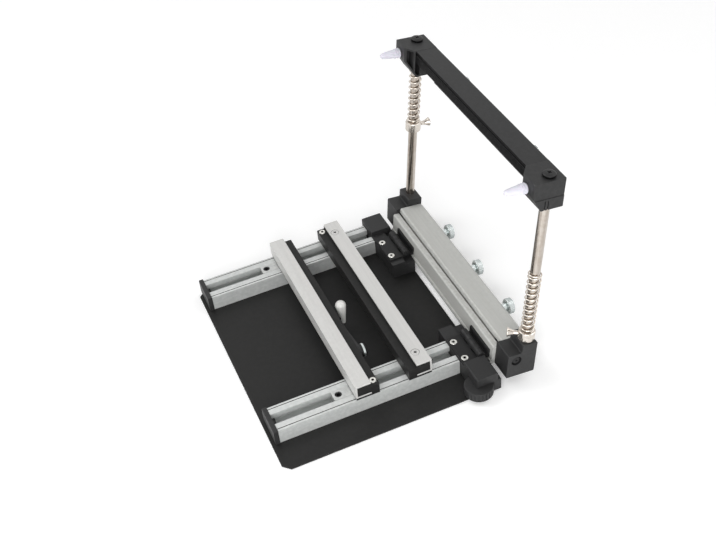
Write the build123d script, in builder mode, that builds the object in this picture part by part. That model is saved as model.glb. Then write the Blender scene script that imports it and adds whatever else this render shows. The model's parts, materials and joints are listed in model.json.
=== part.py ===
from build123d import *
import math
import os

os.makedirs("parts", exist_ok=True)

# Driving dimensions in millimetres. X runs to the right along the hinge, Y to the rear and Z up. The origin
# lies on the underside of the base plate, under the middle of the hinge pins.

# Base plate
plate_width = 229.0
plate_front = 184.0
plate_rear = 5.0
plate_thickness = 1.6
plate_corner = 6.0

# Rails
rail_length = 160.0
rail_width = 26.6
rail_height = 14.2
rail_front_margin = 7.0
left_rail_inset = 1.9
right_rail_inset = 28.0
slot_width = 10.6
slot_depth = 9.6
lip_depth = 5.2
tee_width = 16.0
groove_inset = 2.2
groove_size = 0.6
cap_thickness = 4.0
cap_edge = 0.8
cap_peg = 3.0
cap_peg_fit = 0.1
rail_screw_inset = 18.0
rail_screw_cover = 1.0

# Screws: shank radii and the clearance round them
m25_radius = 1.25
m3_radius = 1.5
m4_radius = 2.0
m5_radius = 2.5
m6_radius = 3.0
screw_fit = 0.05

# Hinges
hinge_height = 20.0
leaf_spacing = 145.0
leaf_shift = 4.4
leaf_length = 32.0
leaf_width = 13.0
leaf_thickness = 1.8
knuckle_radius = 3.3
knuckle_bore_fit = 0.05
pin_radius = 1.5
knuckle_count = 5
knuckle_gap = 0.15
knuckle_clearance = 0.35
leaf_screw_from_end = 5.8
leaf_screw_inset = 3.7
leaf_screw_length = 8.0
moving_leaf_height = 7.7
moving_screw_drop = 3.1
lean = 5.7

# Hinge blocks
block_outer = 116.5
block_inner = 46.0
box_leaf_gap = 0.4
box_top = 21.0
box_depth = 19.2
shelf_depth = 12.6
stop_height = 13.2
stop_gap = 0.2
block_front_gap = 0.3
block_round = 1.2
block_screw_from_inner = 8.0
block_screw_from_outer = 24.5
block_screw_grip = 8.0

# Height knob
knob_radius = 12.2
knob_height = 9.0
knob_from_side = 3.8
knob_from_front = 3.4
knob_foot_radius = 4.0
knob_foot_height = 1.1
knob_clearance = 0.3
knob_foot_gap = 0.1
knob_flutes = 24
knob_flute_radius = 0.7
knob_shaft_radius = 2.0
knob_shaft_length = 5.0

# Clamp bar on the hinges, measured from the hinge axis in the open frame
bar_length = 194.4
bar_front = 7.4
bar_rear = 37.6
bar_bottom = -8.2
bar_top = 15.9
bar_lip_top = 11.0
bar_lip = 5.5
bar_slot = 1.3
bar_foot = 1.1
bar_foot_height = 3.2
bar_round = 1.5
bar_bevel = 2.6
pocket_depth = 4.4
pocket_top = 11.2
jaw_height = 10.4
jaw_thickness = 2.0
jaw_clearance = 0.2
jaw_end_gap = 0.6
moving_screw_grip = 3.3

# End blocks of the clamp bar
end_width = 19.6
end_front = 10.2
end_rear = 36.0
end_boss_depth = 13.5
end_top = 15.6
end_boss_top = 23.4
end_round = 1.0
end_screw_across = 18.3
end_screw_up = 8.4
end_screw_length = 26.0
end_screw_head = 4.2
end_screw_head_height = 2.6
end_screw_sink = 3.2
head_clearance = 0.3

# Posts
post_from_bar = 11.8
post_across = 29.6
post_radius = 4.0
post_foot = -3.0
post_top = 159.6
post_fit = 0.05
post_edge = 0.5

# Beam, measured from the hinge axis in the open frame
beam_top = 181.6
beam_front = 20.5
beam_rear = 39.6
beam_plate = 1.8
beam_skirt_bottom = 171.0
beam_skirt = 3.0
beam_groove = 2.1
beam_groove_depth = 0.8
beam_wall = 3.4
beam_wall_bottom = 153.0
beam_lug = 6.4
beam_lug_gap = 0.2
beam_tenon = 10.0
beam_tenon_fit = 0.1
beam_jaw_end_gap = 12.6
beam_jaw_height = 12.0
beam_jaw_thickness = 2.4
beam_jaw_gap = 1.4
beam_end_width = 25.2
beam_end_front = 13.8
beam_end_bottom = 157.0
beam_end_step = 169.2
beam_end_slope = 7.5
beam_end_shell = 1.4
beam_end_taper = 8.5
beam_end_pocket = 10.9
beam_end_rib = 1.0
beam_travel = 8.0
beam_travel_gap = 0.5
beam_bore_fit = 0.08
retainer_radius = 5.3
retainer_height = 2.8
retainer_depth = 14.0
retainer_gap = 0.05

# Tapered cones on the beam ends
cone_from_end = 9.2
cone_shift = -2.6
cone_up = 172.2
cone_length = 17.7
cone_base_radius = 3.9
cone_middle_radius = 3.4
cone_tip_radius = 2.0
cone_ring = 0.3
cone_ring_width = 0.8
cone_ring_pitch = 1.8
cone_rings = 3
cone_tip_round = 1.5
cone_peg_radius = 2.0
cone_peg_length = 4.0

# Thumb screws behind the bar and the beam
thumb_from_end = 41.2
thumb_head_radius = 6.9
thumb_head_height = 5.3
bar_thumb_neck = 4.7
beam_thumb_neck = 7.5
thumb_neck_radius = 3.4
thumb_gap = 0.1
thumb_chamfer = 0.7
thumb_knurls = 28
thumb_knurl_radius = 0.4
thumb_tip_gap = 0.15
thumb_hollow_radius = 4.6
thumb_hollow_depth = 1.0
bar_thumb_up = 9.0
beam_thumb_up = 161.7

# Collars and springs on the posts
collar_radius = 7.0
collar_height = 9.0
collar_fit = 0.08
collar_edge = 0.5
left_collar_up = 92.6
right_collar_gap = 0.2
right_thumb_angle = -120.0
left_thumb_angle = 90.0
collar_thumb_radius = 3.9
collar_thumb_length = 8.6
collar_thumb_neck = 1.9
collar_thumb_neck_length = 3.2
collar_thumb_hollow = 2.6
collar_thumb_gap = 0.2
wire_diameter = 1.3
spring_radius = 5.05
right_spring_turns = 12
left_spring_turns = 11
right_spring_length = 59.0
spring_end_pitch = 1.9
spring_clearance = 0.2

# Crossbars on the rails
crossbar_left_overhang = 2.4
crossbar_right_overhang = 0.1
channel_height = 13.0
channel_depth = 13.5
channel_wall = 1.6
channel_base = 2.1
core_top_drop = 4.4
core_reach = 7.2
core_clearance = 0.1
front_bar_web = -109.4
rear_bar_web = -41.9
core_foot_inset = 0.3
slider_fit = 0.15
slider_tee_height = 3.8
front_slider_nose = 15.5
rear_slider_nose = -0.5
slider_tail = 15.0
slider_screw_ahead = 10.6
slider_screw_socket = 1.7
slider_screw_sink = 0.4
slider_pin_ahead = 3.4
slider_pin_radius = 1.2
slider_pin_depth = 4.0
cross_screw_back = 8.5
cross_screw_grip = 5.0
under_screw_grip = 8.0
ring_head_radius = 2.9
ring_head_height = 1.1
ring_hollow_radius = 2.0
ring_hollow_depth = 0.7
core_screw_inset = 5.0
core_screw_length = 9.0

# Lock lever on the front crossbar
lever_pivot_x = 41.0
lever_pivot_up = 20.5
lever_hub_radius = 5.8
lever_hub_height = 5.0
lever_arm_length = 52.0
lever_arm_width = 11.0
lever_arm_thickness = 2.0
lever_arm_fall = 6.5
lever_arm_end_radius = 2.6
lever_gap = 0.3
lever_shank_length = 5.0
lever_stud_radius = 1.5
lever_stud_fit = 0.05
lever_edge = 0.8
grip_length = 22.9
grip_thick_radius = 4.8
grip_thin_radius = 1.6
grip_below_arm = 12.9
grip_lean = 11.8
grip_arm_gap = 0.1

# Places worked out from the driving dimensions
plate_top = plate_thickness
rail_top = plate_top + rail_height
rail_front = -plate_front + rail_front_margin
rail_back = rail_front + rail_length
left_rail_x = -plate_width / 2 + left_rail_inset + rail_width / 2
right_rail_x = plate_width / 2 - right_rail_inset - rail_width / 2
shelf_top = hinge_height - knuckle_radius
leaf_screw_spacing = leaf_length - 2 * leaf_screw_from_end
box_inner = leaf_spacing / 2 + abs(leaf_shift) + leaf_length / 2 + box_leaf_gap
block_screw_near = block_inner + block_screw_from_inner
block_screw_far = block_outer - block_screw_from_outer
block_front = rail_back + block_front_gap
bar_half = bar_length / 2
post_x = bar_half + post_from_bar
outer_thumb_x = bar_half - thumb_from_end
end_outer = bar_half + end_width
beam_end_inner = end_outer - beam_end_width
foot_front = bar_front - bar_foot
lip_back = bar_front + bar_lip
pocket_back = lip_back + pocket_depth
pocket_bottom = pocket_top - jaw_height - 2 * jaw_clearance
jaw_back = pocket_back - jaw_clearance
moving_screw_up = moving_leaf_height - knuckle_radius - moving_screw_drop
channel_bottom = rail_top + channel_base
channel_top = channel_bottom + channel_height
core_top = channel_top - core_top_drop
slider_top = rail_top + slider_fit
slot_floor = rail_top - slot_depth
tee_bottom = slot_floor + slider_fit
crossbar_left = left_rail_x - rail_width / 2 - crossbar_left_overhang
crossbar_right = right_rail_x + rail_width / 2 + crossbar_right_overhang
lean_rad = math.radians(lean)
cos_lean = math.cos(lean_rad)
sin_lean = math.sin(lean_rad)

# Planes and directions of the open frame, which leans back: across runs rearward and up runs along the posts
section = Plane(origin=(0, 0, hinge_height), x_dir=(0, cos_lean, -sin_lean), z_dir=(1, 0, 0))
upright = Plane(origin=(0, 0, hinge_height), x_dir=(1, 0, 0), z_dir=(0, sin_lean, cos_lean))
REAR = section.x_dir
FRONT = -section.x_dir
UP = section.y_dir
LOW = (Align.CENTER, Align.CENTER, Align.MIN)
HIGH = (Align.CENTER, Align.CENTER, Align.MAX)
BOTTOM = (Align.CENTER, Align.MIN)
TOP = (Align.CENTER, Align.MAX)
CORNER = (Align.MIN, Align.MIN)


def save(piece, label):
    """Label a finished piece and write its STEP file."""
    piece.part.label = label
    export_step(piece.part, f"parts/{label}.step")


def side_name(side):
    """Name of a side: -1 is left and 1 is right."""
    return "left" if side < 0 else "right"


def span_start(side, inner, outer):
    """Lower x of a span between two distances from the middle, on the left or the right."""
    return inner if side > 0 else -outer


def in_frame(across, up, x, direction):
    """Location in the open frame whose Z points along a direction."""
    origin = section.from_local_coords(Vector(across, up, x))
    return Plane(origin=origin, z_dir=direction).location


def facing(x, y, z, direction):
    """Location at a point of the base whose Z points along a direction."""
    return Plane(origin=(x, y, z), z_dir=direction).location


def plane_at_y(y):
    """Upright plane across the rails; what is extruded from it grows towards the front."""
    return Plane.XZ.offset(-y)


def plane_at_x(x):
    """Upright plane along the rails; what is extruded from it grows to the right."""
    return Plane.YZ.offset(x)


def cross_recess(radius):
    """The cross in a screw head whose outer face is at the current location."""
    for turn in (0, 90):
        Box(0.45 * radius, 2.1 * radius, 1.2 * radius, rotation=(0, 0, turn), mode=Mode.SUBTRACT)


def countersunk_screw(radius, length):
    """A countersunk screw that stands on its head at the current location."""
    Cone(2 * radius, radius, radius, align=LOW)
    Cylinder(radius, length, align=LOW)
    cross_recess(radius)


def countersunk_hole(radius, length):
    """The hole of a countersunk screw that stands on its head at the current location."""
    Cone(2 * radius + screw_fit, radius + screw_fit, radius, align=LOW, mode=Mode.SUBTRACT)
    plain_hole(radius, length)


def plain_hole(radius, length):
    """The hole of a screw shank that starts at the current location."""
    Cylinder(radius + screw_fit, length + screw_fit, align=LOW, mode=Mode.SUBTRACT)


# Base plate
rail_screw_y = (rail_front + rail_screw_inset, rail_back - rail_screw_inset)
rail_screw_points = [(x, y, 0) for x in (left_rail_x, right_rail_x) for y in rail_screw_y]
block_screw_y = block_front + shelf_depth / 2
block_screw_points = [
    (side * x, block_screw_y, 0) for side in (-1, 1) for x in (block_screw_near, block_screw_far)
]

with BuildPart() as base_plate:
    with BuildSketch() as plate_outline:
        with Locations((0, (plate_rear - plate_front) / 2)):
            Rectangle(plate_width, plate_front + plate_rear)
        chamfer(plate_outline.vertices().group_by(Axis.Y)[0], plate_corner)
    extrude(amount=plate_thickness)
    with Locations(*rail_screw_points, *block_screw_points):
        countersunk_hole(m3_radius, plate_thickness)
save(base_plate, "base_plate")


# Rails with their T slots, the caps on their front ends and the screws that hold them from below
rail_screw_grip = rail_height - slot_depth - rail_screw_cover
tee_height = slot_depth - lip_depth


def build_rail(x):
    """Rail with a T slot along its top and two thin grooves beside it."""
    with BuildPart() as rail:
        with BuildSketch(plane_at_y(rail_back)):
            with Locations((x, plate_top)):
                Rectangle(rail_width, rail_height, align=BOTTOM)
            with Locations((x, rail_top)):
                Rectangle(slot_width, slot_depth, align=TOP, mode=Mode.SUBTRACT)
            with Locations((x, slot_floor)):
                Rectangle(tee_width, tee_height, align=BOTTOM, mode=Mode.SUBTRACT)
            groove_x = rail_width / 2 - groove_inset
            with Locations((x - groove_x, rail_top), (x + groove_x, rail_top)):
                Rectangle(groove_size, groove_size, align=TOP, mode=Mode.SUBTRACT)
        extrude(amount=rail_length)
        with Locations(*[(x, y, plate_top) for y in rail_screw_y]):
            plain_hole(m3_radius, rail_screw_grip)
    return rail


def build_rail_cap(x):
    """Cap on the front end of a rail, with a peg in the wide part of the rail's slot."""
    with BuildPart() as cap:
        with BuildSketch(plane_at_y(rail_front)):
            with Locations((x, plate_top)):
                Rectangle(rail_width + 2 * cap_edge, rail_height + cap_edge, align=BOTTOM)
        extrude(amount=cap_thickness)
        fillet(cap.faces().sort_by(Axis.Y)[0].outer_wire().edges().filter_by(Axis.X), cap_edge)
        with BuildSketch(plane_at_y(rail_front)):
            with Locations((x, slot_floor + cap_peg_fit)):
                Rectangle(tee_width - 2 * cap_peg_fit, tee_height - 2 * cap_peg_fit, align=BOTTOM)
        extrude(amount=-cap_peg)
    return cap


for name, x in (("left", left_rail_x), ("right", right_rail_x)):
    save(build_rail(x), f"{name}_rail")
    save(build_rail_cap(x), f"{name}_rail_cap")

with BuildPart() as rail_screws:
    with Locations(*rail_screw_points):
        countersunk_screw(m3_radius, plate_thickness + rail_screw_grip)
save(rail_screws, "rail_screws")


# Hinge blocks: a shelf under the hinge leaf, a stop behind it and a box at the outer end
stop_face = (foot_front * cos_lean + bar_bottom * sin_lean) - stop_gap
knob_x = block_outer - knob_from_side
knob_y = block_front + knob_from_front
knob_bottom = plate_top + knob_foot_height
knob_top = knob_bottom + knob_height
leaf_screw_y = -(knuckle_radius + leaf_width) + leaf_screw_inset


def leaf_middle(side):
    """Middle of a hinge leaf along the hinge."""
    return side * leaf_spacing / 2 + leaf_shift


def leaf_screw_x(side):
    """Places of the two screws of a hinge leaf along the hinge."""
    return [leaf_middle(side) + end * leaf_screw_spacing / 2 for end in (-1, 1)]


def build_hinge_block(side):
    """Block that carries the hinge leaf of one side and stops the frame when it leans back."""
    with BuildPart() as block:
        with BuildSketch(plane_at_x(span_start(side, block_inner, block_outer))):
            with Locations((block_front, plate_top)):
                Rectangle(stop_face - block_front, stop_height - plate_top, align=CORNER)
                Rectangle(shelf_depth, shelf_top - plate_top, align=CORNER)
        extrude(amount=block_outer - block_inner)
        with BuildSketch(plane_at_x(span_start(side, box_inner, block_outer))) as box_outline:
            with Locations((block_front, plate_top)):
                Rectangle(box_depth, box_top - plate_top, align=CORNER)
            fillet(box_outline.vertices().group_by(Axis.Y)[-1], block_round)
        extrude(amount=block_outer - box_inner)
        with Locations(*[(side * x, block_screw_y, plate_top) for x in (block_screw_near, block_screw_far)]):
            plain_hole(m3_radius, block_screw_grip)
        with Locations(*[facing(x, leaf_screw_y, shelf_top, (0, 0, -1)) for x in leaf_screw_x(side)]):
            plain_hole(m3_radius, leaf_screw_length - leaf_thickness)
        if side > 0:
            with Locations((knob_x, knob_y, plate_top)):
                pocket_height = knob_top + knob_clearance - plate_top
                Cylinder(knob_radius + knob_clearance, pocket_height, align=LOW, mode=Mode.SUBTRACT)
            with Locations((knob_x, knob_y, knob_top)):
                plain_hole(knob_shaft_radius, knob_shaft_length + knob_clearance)
    return block


for side in (-1, 1):
    save(build_hinge_block(side), f"{side_name(side)}_hinge_block")

with BuildPart() as hinge_block_screws:
    with Locations(*block_screw_points):
        countersunk_screw(m3_radius, plate_thickness + block_screw_grip)
save(hinge_block_screws, "hinge_block_screws")

# Fluted knob that turns on a short shaft under the right hinge block
with BuildPart() as height_knob:
    with BuildSketch(Plane.XY.offset(knob_bottom)):
        with Locations((knob_x, knob_y)):
            Circle(knob_radius)
            with PolarLocations(knob_radius, knob_flutes):
                Circle(knob_flute_radius, mode=Mode.SUBTRACT)
    extrude(amount=knob_height)
    with Locations((knob_x, knob_y, plate_top + knob_foot_gap)):
        Cylinder(knob_foot_radius, knob_foot_height, align=LOW)
    with Locations((knob_x, knob_y, knob_top)):
        Cylinder(knob_shaft_radius, knob_shaft_length, align=LOW)
save(height_knob, "height_knob")


# Hinges: a fixed leaf on the base, a moving leaf on the bar and a pin through their knuckles
knuckle_length = (leaf_length - (knuckle_count - 1) * knuckle_gap) / knuckle_count
knuckle_reach = knuckle_radius + knuckle_clearance


def knuckle_start(side, number):
    """Lower x of a knuckle, counted from the left end of its hinge."""
    return leaf_middle(side) - leaf_length / 2 + number * (knuckle_length + knuckle_gap)


def build_fixed_leaf(side):
    """Leaf that lies on the hinge block, with every other knuckle."""
    leaf_front = -(knuckle_radius + leaf_width)
    with BuildPart() as leaf:
        with BuildSketch(plane_at_x(leaf_middle(side) - leaf_length / 2)):
            with Locations((leaf_front, shelf_top)):
                Rectangle(-knuckle_reach - leaf_front, leaf_thickness, align=CORNER)
        extrude(amount=leaf_length)
        for number in range(0, knuckle_count, 2):
            with BuildSketch(plane_at_x(knuckle_start(side, number))):
                with Locations((-knuckle_reach, shelf_top)):
                    Rectangle(knuckle_reach, leaf_thickness, align=CORNER)
                with Locations((0, hinge_height)):
                    Circle(knuckle_radius)
                    Circle(pin_radius + knuckle_bore_fit, mode=Mode.SUBTRACT)
            extrude(amount=knuckle_length)
        screw_faces = [facing(x, leaf_screw_y, shelf_top + leaf_thickness, (0, 0, -1)) for x in leaf_screw_x(side)]
        with Locations(*screw_faces):
            countersunk_hole(m3_radius, leaf_thickness)
    return leaf


def build_moving_leaf(side):
    """Leaf that is bent up against the bar's front face, with the knuckles between the fixed ones."""
    tongue_up = -knuckle_radius
    with BuildPart() as leaf:
        with BuildSketch(section.offset(leaf_middle(side) - leaf_length / 2)):
            with Locations((knuckle_reach, tongue_up)):
                Rectangle(bar_front - knuckle_reach, leaf_thickness, align=CORNER)
            with Locations((bar_front - leaf_thickness, tongue_up)):
                Rectangle(leaf_thickness, moving_leaf_height, align=CORNER)
        extrude(amount=leaf_length)
        for number in range(1, knuckle_count, 2):
            with BuildSketch(section.offset(knuckle_start(side, number))):
                with Locations((0, tongue_up)):
                    Rectangle(knuckle_reach, leaf_thickness, align=CORNER)
                Circle(knuckle_radius)
                Circle(pin_radius + knuckle_bore_fit, mode=Mode.SUBTRACT)
            extrude(amount=knuckle_length)
        leaf_face = bar_front - leaf_thickness
        with Locations(*[in_frame(leaf_face, moving_screw_up, x, REAR) for x in leaf_screw_x(side)]):
            countersunk_hole(m25_radius, leaf_thickness)
    return leaf


def build_hinge_pin(side):
    """Pin through the knuckles of one hinge."""
    with BuildPart() as pin:
        with BuildSketch(plane_at_x(leaf_middle(side) - leaf_length / 2)):
            with Locations((0, hinge_height)):
                Circle(pin_radius)
        extrude(amount=leaf_length)
    return pin


for side in (-1, 1):
    save(build_fixed_leaf(side), f"{side_name(side)}_fixed_leaf")
    save(build_moving_leaf(side), f"{side_name(side)}_moving_leaf")
    save(build_hinge_pin(side), f"{side_name(side)}_hinge_pin")

all_leaf_screw_x = leaf_screw_x(-1) + leaf_screw_x(1)
with BuildPart() as fixed_leaf_screws:
    with Locations(*[facing(x, leaf_screw_y, shelf_top + leaf_thickness, (0, 0, -1)) for x in all_leaf_screw_x]):
        countersunk_screw(m3_radius, leaf_screw_length)
save(fixed_leaf_screws, "fixed_leaf_screws")

with BuildPart() as moving_leaf_screws:
    with Locations(*[in_frame(bar_front - leaf_thickness, moving_screw_up, x, REAR) for x in all_leaf_screw_x]):
        countersunk_screw(m25_radius, leaf_thickness + moving_screw_grip)
save(moving_leaf_screws, "moving_leaf_screws")


# Clamp bar: a lip in front, a pocket for the jaw behind it and a foot that meets the stop
end_screw_grip = end_screw_length - (end_width - end_screw_sink)
jaw_length = bar_length - 2 * (end_screw_grip + jaw_end_gap)
bar_thumb_x = (-outer_thumb_x, 0, outer_thumb_x)
slot_back = lip_back + bar_slot

with BuildPart() as clamp_bar:
    with BuildSketch(section.offset(-bar_half)) as bar_outline:
        with BuildLine():
            Polyline(
                (foot_front, bar_bottom),
                (bar_rear, bar_bottom),
                (bar_rear, bar_top - bar_bevel),
                (bar_rear - bar_bevel, bar_top),
                (slot_back, bar_top),
                (slot_back, pocket_top),
                (pocket_back, pocket_top),
                (pocket_back, pocket_bottom),
                (lip_back, pocket_bottom),
                (lip_back, bar_lip_top),
                (bar_front, bar_lip_top),
                (bar_front, bar_bottom + bar_foot_height),
                (foot_front, bar_bottom + bar_foot_height),
                close=True,
            )
        make_face()
        for corner in ((slot_back, bar_top), (bar_front, bar_lip_top)):
            fillet(bar_outline.vertices().sort_by_distance(corner)[0], bar_round)
    extrude(amount=bar_length)
    with Locations(*[in_frame(bar_front, moving_screw_up, x, REAR) for x in all_leaf_screw_x]):
        plain_hole(m25_radius, moving_screw_grip)
    with Locations(*[in_frame(bar_rear, bar_thumb_up, x, FRONT) for x in bar_thumb_x]):
        plain_hole(m4_radius, bar_rear - pocket_back)
    for side in (-1, 1):
        with Locations(in_frame(end_screw_across, end_screw_up, side * bar_half, (-side, 0, 0))):
            plain_hole(m4_radius, end_screw_grip)
save(clamp_bar, "clamp_bar")

with BuildPart() as bar_jaw:
    with BuildSketch(section.offset(-jaw_length / 2)):
        with Locations((jaw_back - jaw_thickness, pocket_bottom + jaw_clearance)):
            Rectangle(jaw_thickness, jaw_height, align=CORNER)
    extrude(amount=jaw_length)
save(bar_jaw, "bar_jaw")


# End blocks of the bar, with the posts standing in them
def build_end_block(side):
    """Block on one end of the bar, with a raised boss round the foot of the post."""
    with BuildPart() as block:
        with BuildSketch(section.offset(span_start(side, bar_half, end_outer))):
            with Locations((end_front, bar_bottom)):
                Rectangle(end_rear - end_front, end_top - bar_bottom, align=CORNER)
            with Locations((end_rear - end_boss_depth, bar_bottom)):
                Rectangle(end_boss_depth, end_boss_top - bar_bottom, align=CORNER)
        extrude(amount=end_width)
        fillet(block.edges().filter_by(Axis.X), end_round)
        with Locations(in_frame(post_across, post_foot, side * post_x, UP)):
            Cylinder(post_radius + post_fit, end_boss_top - post_foot, align=LOW, mode=Mode.SUBTRACT)
        with Locations(in_frame(end_screw_across, end_screw_up, side * bar_half, (side, 0, 0))):
            plain_hole(m4_radius, end_width)
        with Locations(in_frame(end_screw_across, end_screw_up, side * end_outer, (-side, 0, 0))):
            Cylinder(end_screw_head + head_clearance, end_screw_sink, align=LOW, mode=Mode.SUBTRACT)
    return block


def build_post(side):
    """Round post with a tapped hole in its top."""
    with BuildPart() as post:
        with Locations(in_frame(post_across, post_foot, side * post_x, UP)):
            Cylinder(post_radius, post_top - post_foot, align=LOW)
        chamfer(post.edges().filter_by(GeomType.CIRCLE), post_edge)
        with Locations(in_frame(post_across, post_top, side * post_x, -UP)):
            plain_hole(m5_radius, retainer_depth)
    return post


for side in (-1, 1):
    save(build_end_block(side), f"{side_name(side)}_end_block")
    save(build_post(side), f"{side_name(side)}_post")

with BuildPart() as end_block_screws:
    for side in (-1, 1):
        with Locations(in_frame(end_screw_across, end_screw_up, side * (end_outer - end_screw_sink), (side, 0, 0))):
            Cylinder(end_screw_head, end_screw_head_height, align=LOW)
            Cylinder(m4_radius, end_screw_length, align=HIGH)
        head_face = side * (end_outer - end_screw_sink + end_screw_head_height)
        with Locations(in_frame(end_screw_across, end_screw_up, head_face, (side, 0, 0))):
            cross_recess(m4_radius)
save(end_block_screws, "end_block_screws")

# Screws in the tops of the posts; their heads hold the beam down and its springs push it up against them
with BuildPart() as post_screws:
    with Locations(*[in_frame(post_across, beam_top + retainer_gap, side * post_x, UP) for side in (-1, 1)]):
        Cylinder(retainer_radius, retainer_height, align=LOW)
        Cylinder(m5_radius, beam_top + retainer_gap - post_top + retainer_depth, align=HIGH)
    heads = post_screws.edges().filter_by(GeomType.CIRCLE)
    fillet(heads.group_by(SortBy.RADIUS)[-1].sort_by(Axis.Z)[-2:], retainer_height / 2)
    with Locations(*[in_frame(post_across, beam_top + retainer_height, side * post_x, UP) for side in (-1, 1)]):
        cross_recess(m5_radius)
save(post_screws, "post_screws")


# Beam: a top plate with a grooved skirt in front and a deeper wall behind, its jaw and its two ends
wall_front = beam_rear - beam_wall
skirt_back = beam_front + beam_skirt
beam_jaw_back = wall_front - beam_jaw_gap
beam_thumb_x = (-outer_thumb_x, outer_thumb_x)
beam_jaw_length = 2 * (beam_end_inner - beam_jaw_end_gap)

with BuildPart() as cross_beam:
    with BuildSketch(section.offset(-beam_end_inner)):
        with Locations((beam_front, beam_top)):
            Rectangle(beam_rear - beam_front, beam_plate, align=(Align.MIN, Align.MAX))
            Rectangle(beam_skirt, beam_top - beam_skirt_bottom, align=(Align.MIN, Align.MAX))
        with Locations((wall_front, beam_wall_bottom)):
            Rectangle(beam_wall, beam_top - beam_wall_bottom, align=CORNER)
        with Locations((beam_front, beam_top - beam_plate)):
            Rectangle(beam_groove_depth, beam_groove, align=(Align.MIN, Align.MAX), mode=Mode.SUBTRACT)
    extrude(amount=2 * beam_end_inner)
    lug_half = beam_end_inner + beam_lug
    with BuildSketch(section.offset(-lug_half)):
        with Locations((wall_front, beam_wall_bottom)):
            Rectangle(beam_wall, beam_end_bottom - beam_lug_gap - beam_wall_bottom, align=CORNER)
    extrude(amount=2 * lug_half)
    with Locations(*[in_frame(beam_rear, beam_thumb_up, x, FRONT) for x in beam_thumb_x]):
        plain_hole(m4_radius, beam_wall)
save(cross_beam, "cross_beam")

with BuildPart() as beam_jaw:
    with BuildSketch(section.offset(-beam_jaw_length / 2)):
        with Locations((beam_jaw_back - beam_jaw_thickness / 2, beam_thumb_up)):
            Rectangle(beam_jaw_thickness, beam_jaw_height)
    extrude(amount=beam_jaw_length)
    with Locations(*[in_frame(beam_jaw_back, beam_thumb_up, x, FRONT) for x in beam_thumb_x]):
        plain_hole(m4_radius, beam_jaw_thickness)
save(beam_jaw, "beam_jaw")


def cone_middle(side):
    """Place of a cone's axis along the beam; both cones stand off the middle of their ends to the left."""
    return side * (end_outer - cone_from_end) + cone_shift


def build_beam_end(side):
    """End of the beam: it slides on the post, holds the cone and is ribbed where it faces the beam."""
    with BuildPart() as beam_end:
        with BuildSketch(section.offset(span_start(side, beam_end_inner, end_outer))) as outline:
            with BuildLine():
                Polyline(
                    (beam_end_front, beam_top),
                    (beam_rear, beam_top),
                    (beam_rear, beam_end_bottom),
                    (beam_end_front + beam_end_slope, beam_end_bottom),
                    (beam_end_front, beam_end_step),
                    close=True,
                )
            make_face()
        extrude(amount=beam_end_width)
        with BuildSketch(upright.offset(beam_wall_bottom)):
            with BuildLine():
                Polyline(
                    (side * beam_end_inner, beam_end_front),
                    (side * (beam_end_inner + beam_end_taper), beam_end_front),
                    (side * beam_end_inner, beam_front),
                    close=True,
                )
            make_face()
        extrude(amount=beam_top - beam_wall_bottom, mode=Mode.SUBTRACT)
        pocket_outer = beam_end_inner + beam_end_pocket
        with BuildSketch(section.offset(span_start(side, beam_end_inner, pocket_outer))):
            add(outline.sketch_local)
            offset(amount=-beam_end_shell)
            bore_front = post_across - post_radius - beam_bore_fit
            with Locations((bore_front - beam_end_rib, beam_end_bottom)):
                Rectangle(beam_rear, beam_top, align=CORNER, mode=Mode.SUBTRACT)
            rib_across = (beam_end_front + beam_end_shell + bore_front - beam_end_rib) / 2
            with Locations((rib_across, beam_end_bottom)):
                Rectangle(beam_end_rib, beam_top, align=BOTTOM, mode=Mode.SUBTRACT)
        extrude(amount=beam_end_pocket, mode=Mode.SUBTRACT)
        with BuildSketch(section.offset(span_start(side, beam_end_inner - beam_tenon, beam_end_inner))):
            with Locations((skirt_back + beam_tenon_fit, beam_skirt_bottom)):
                tenon_depth = wall_front - skirt_back - 2 * beam_tenon_fit
                tenon_height = beam_top - beam_plate - beam_tenon_fit - beam_skirt_bottom
                Rectangle(tenon_depth, tenon_height, align=CORNER)
        extrude(amount=beam_tenon)
        bore_height = post_top - beam_end_bottom + beam_travel + beam_travel_gap
        with Locations(in_frame(post_across, beam_end_bottom, side * post_x, UP)):
            Cylinder(post_radius + beam_bore_fit, bore_height, align=LOW, mode=Mode.SUBTRACT)
            Cylinder(m5_radius + beam_bore_fit, beam_top - beam_end_bottom, align=LOW, mode=Mode.SUBTRACT)
        with Locations(in_frame(beam_end_front, cone_up, cone_middle(side), REAR)):
            plain_hole(cone_peg_radius, cone_peg_length)
    return beam_end


def build_cone(side):
    """Cone that tapers in a curve to a round tip, with rings near its base and a peg in the beam end."""
    with BuildPart() as cone:
        with BuildSketch(Plane.XZ) as half_outline:
            with BuildLine():
                ThreePointArc(
                    (cone_base_radius, 0), (cone_middle_radius, cone_length / 2), (cone_tip_radius, cone_length)
                )
                Polyline((cone_tip_radius, cone_length), (0, cone_length), (0, 0), (cone_base_radius, 0))
            make_face()
            fillet(half_outline.vertices().sort_by_distance((cone_tip_radius, 0, cone_length))[0], cone_tip_round)
        revolve(axis=Axis.Z)
        for number in range(cone_rings):
            with Locations((0, 0, (number + 0.5) * cone_ring_pitch)):
                Cylinder(cone_base_radius + cone_ring, cone_ring_width)
        Cylinder(cone_peg_radius, cone_peg_length, align=HIGH)
    cone.part.locate(in_frame(beam_end_front, cone_up, cone_middle(side), FRONT))
    return cone


for side in (-1, 1):
    save(build_beam_end(side), f"{side_name(side)}_beam_end")
    save(build_cone(side), f"{side_name(side)}_cone")


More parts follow.
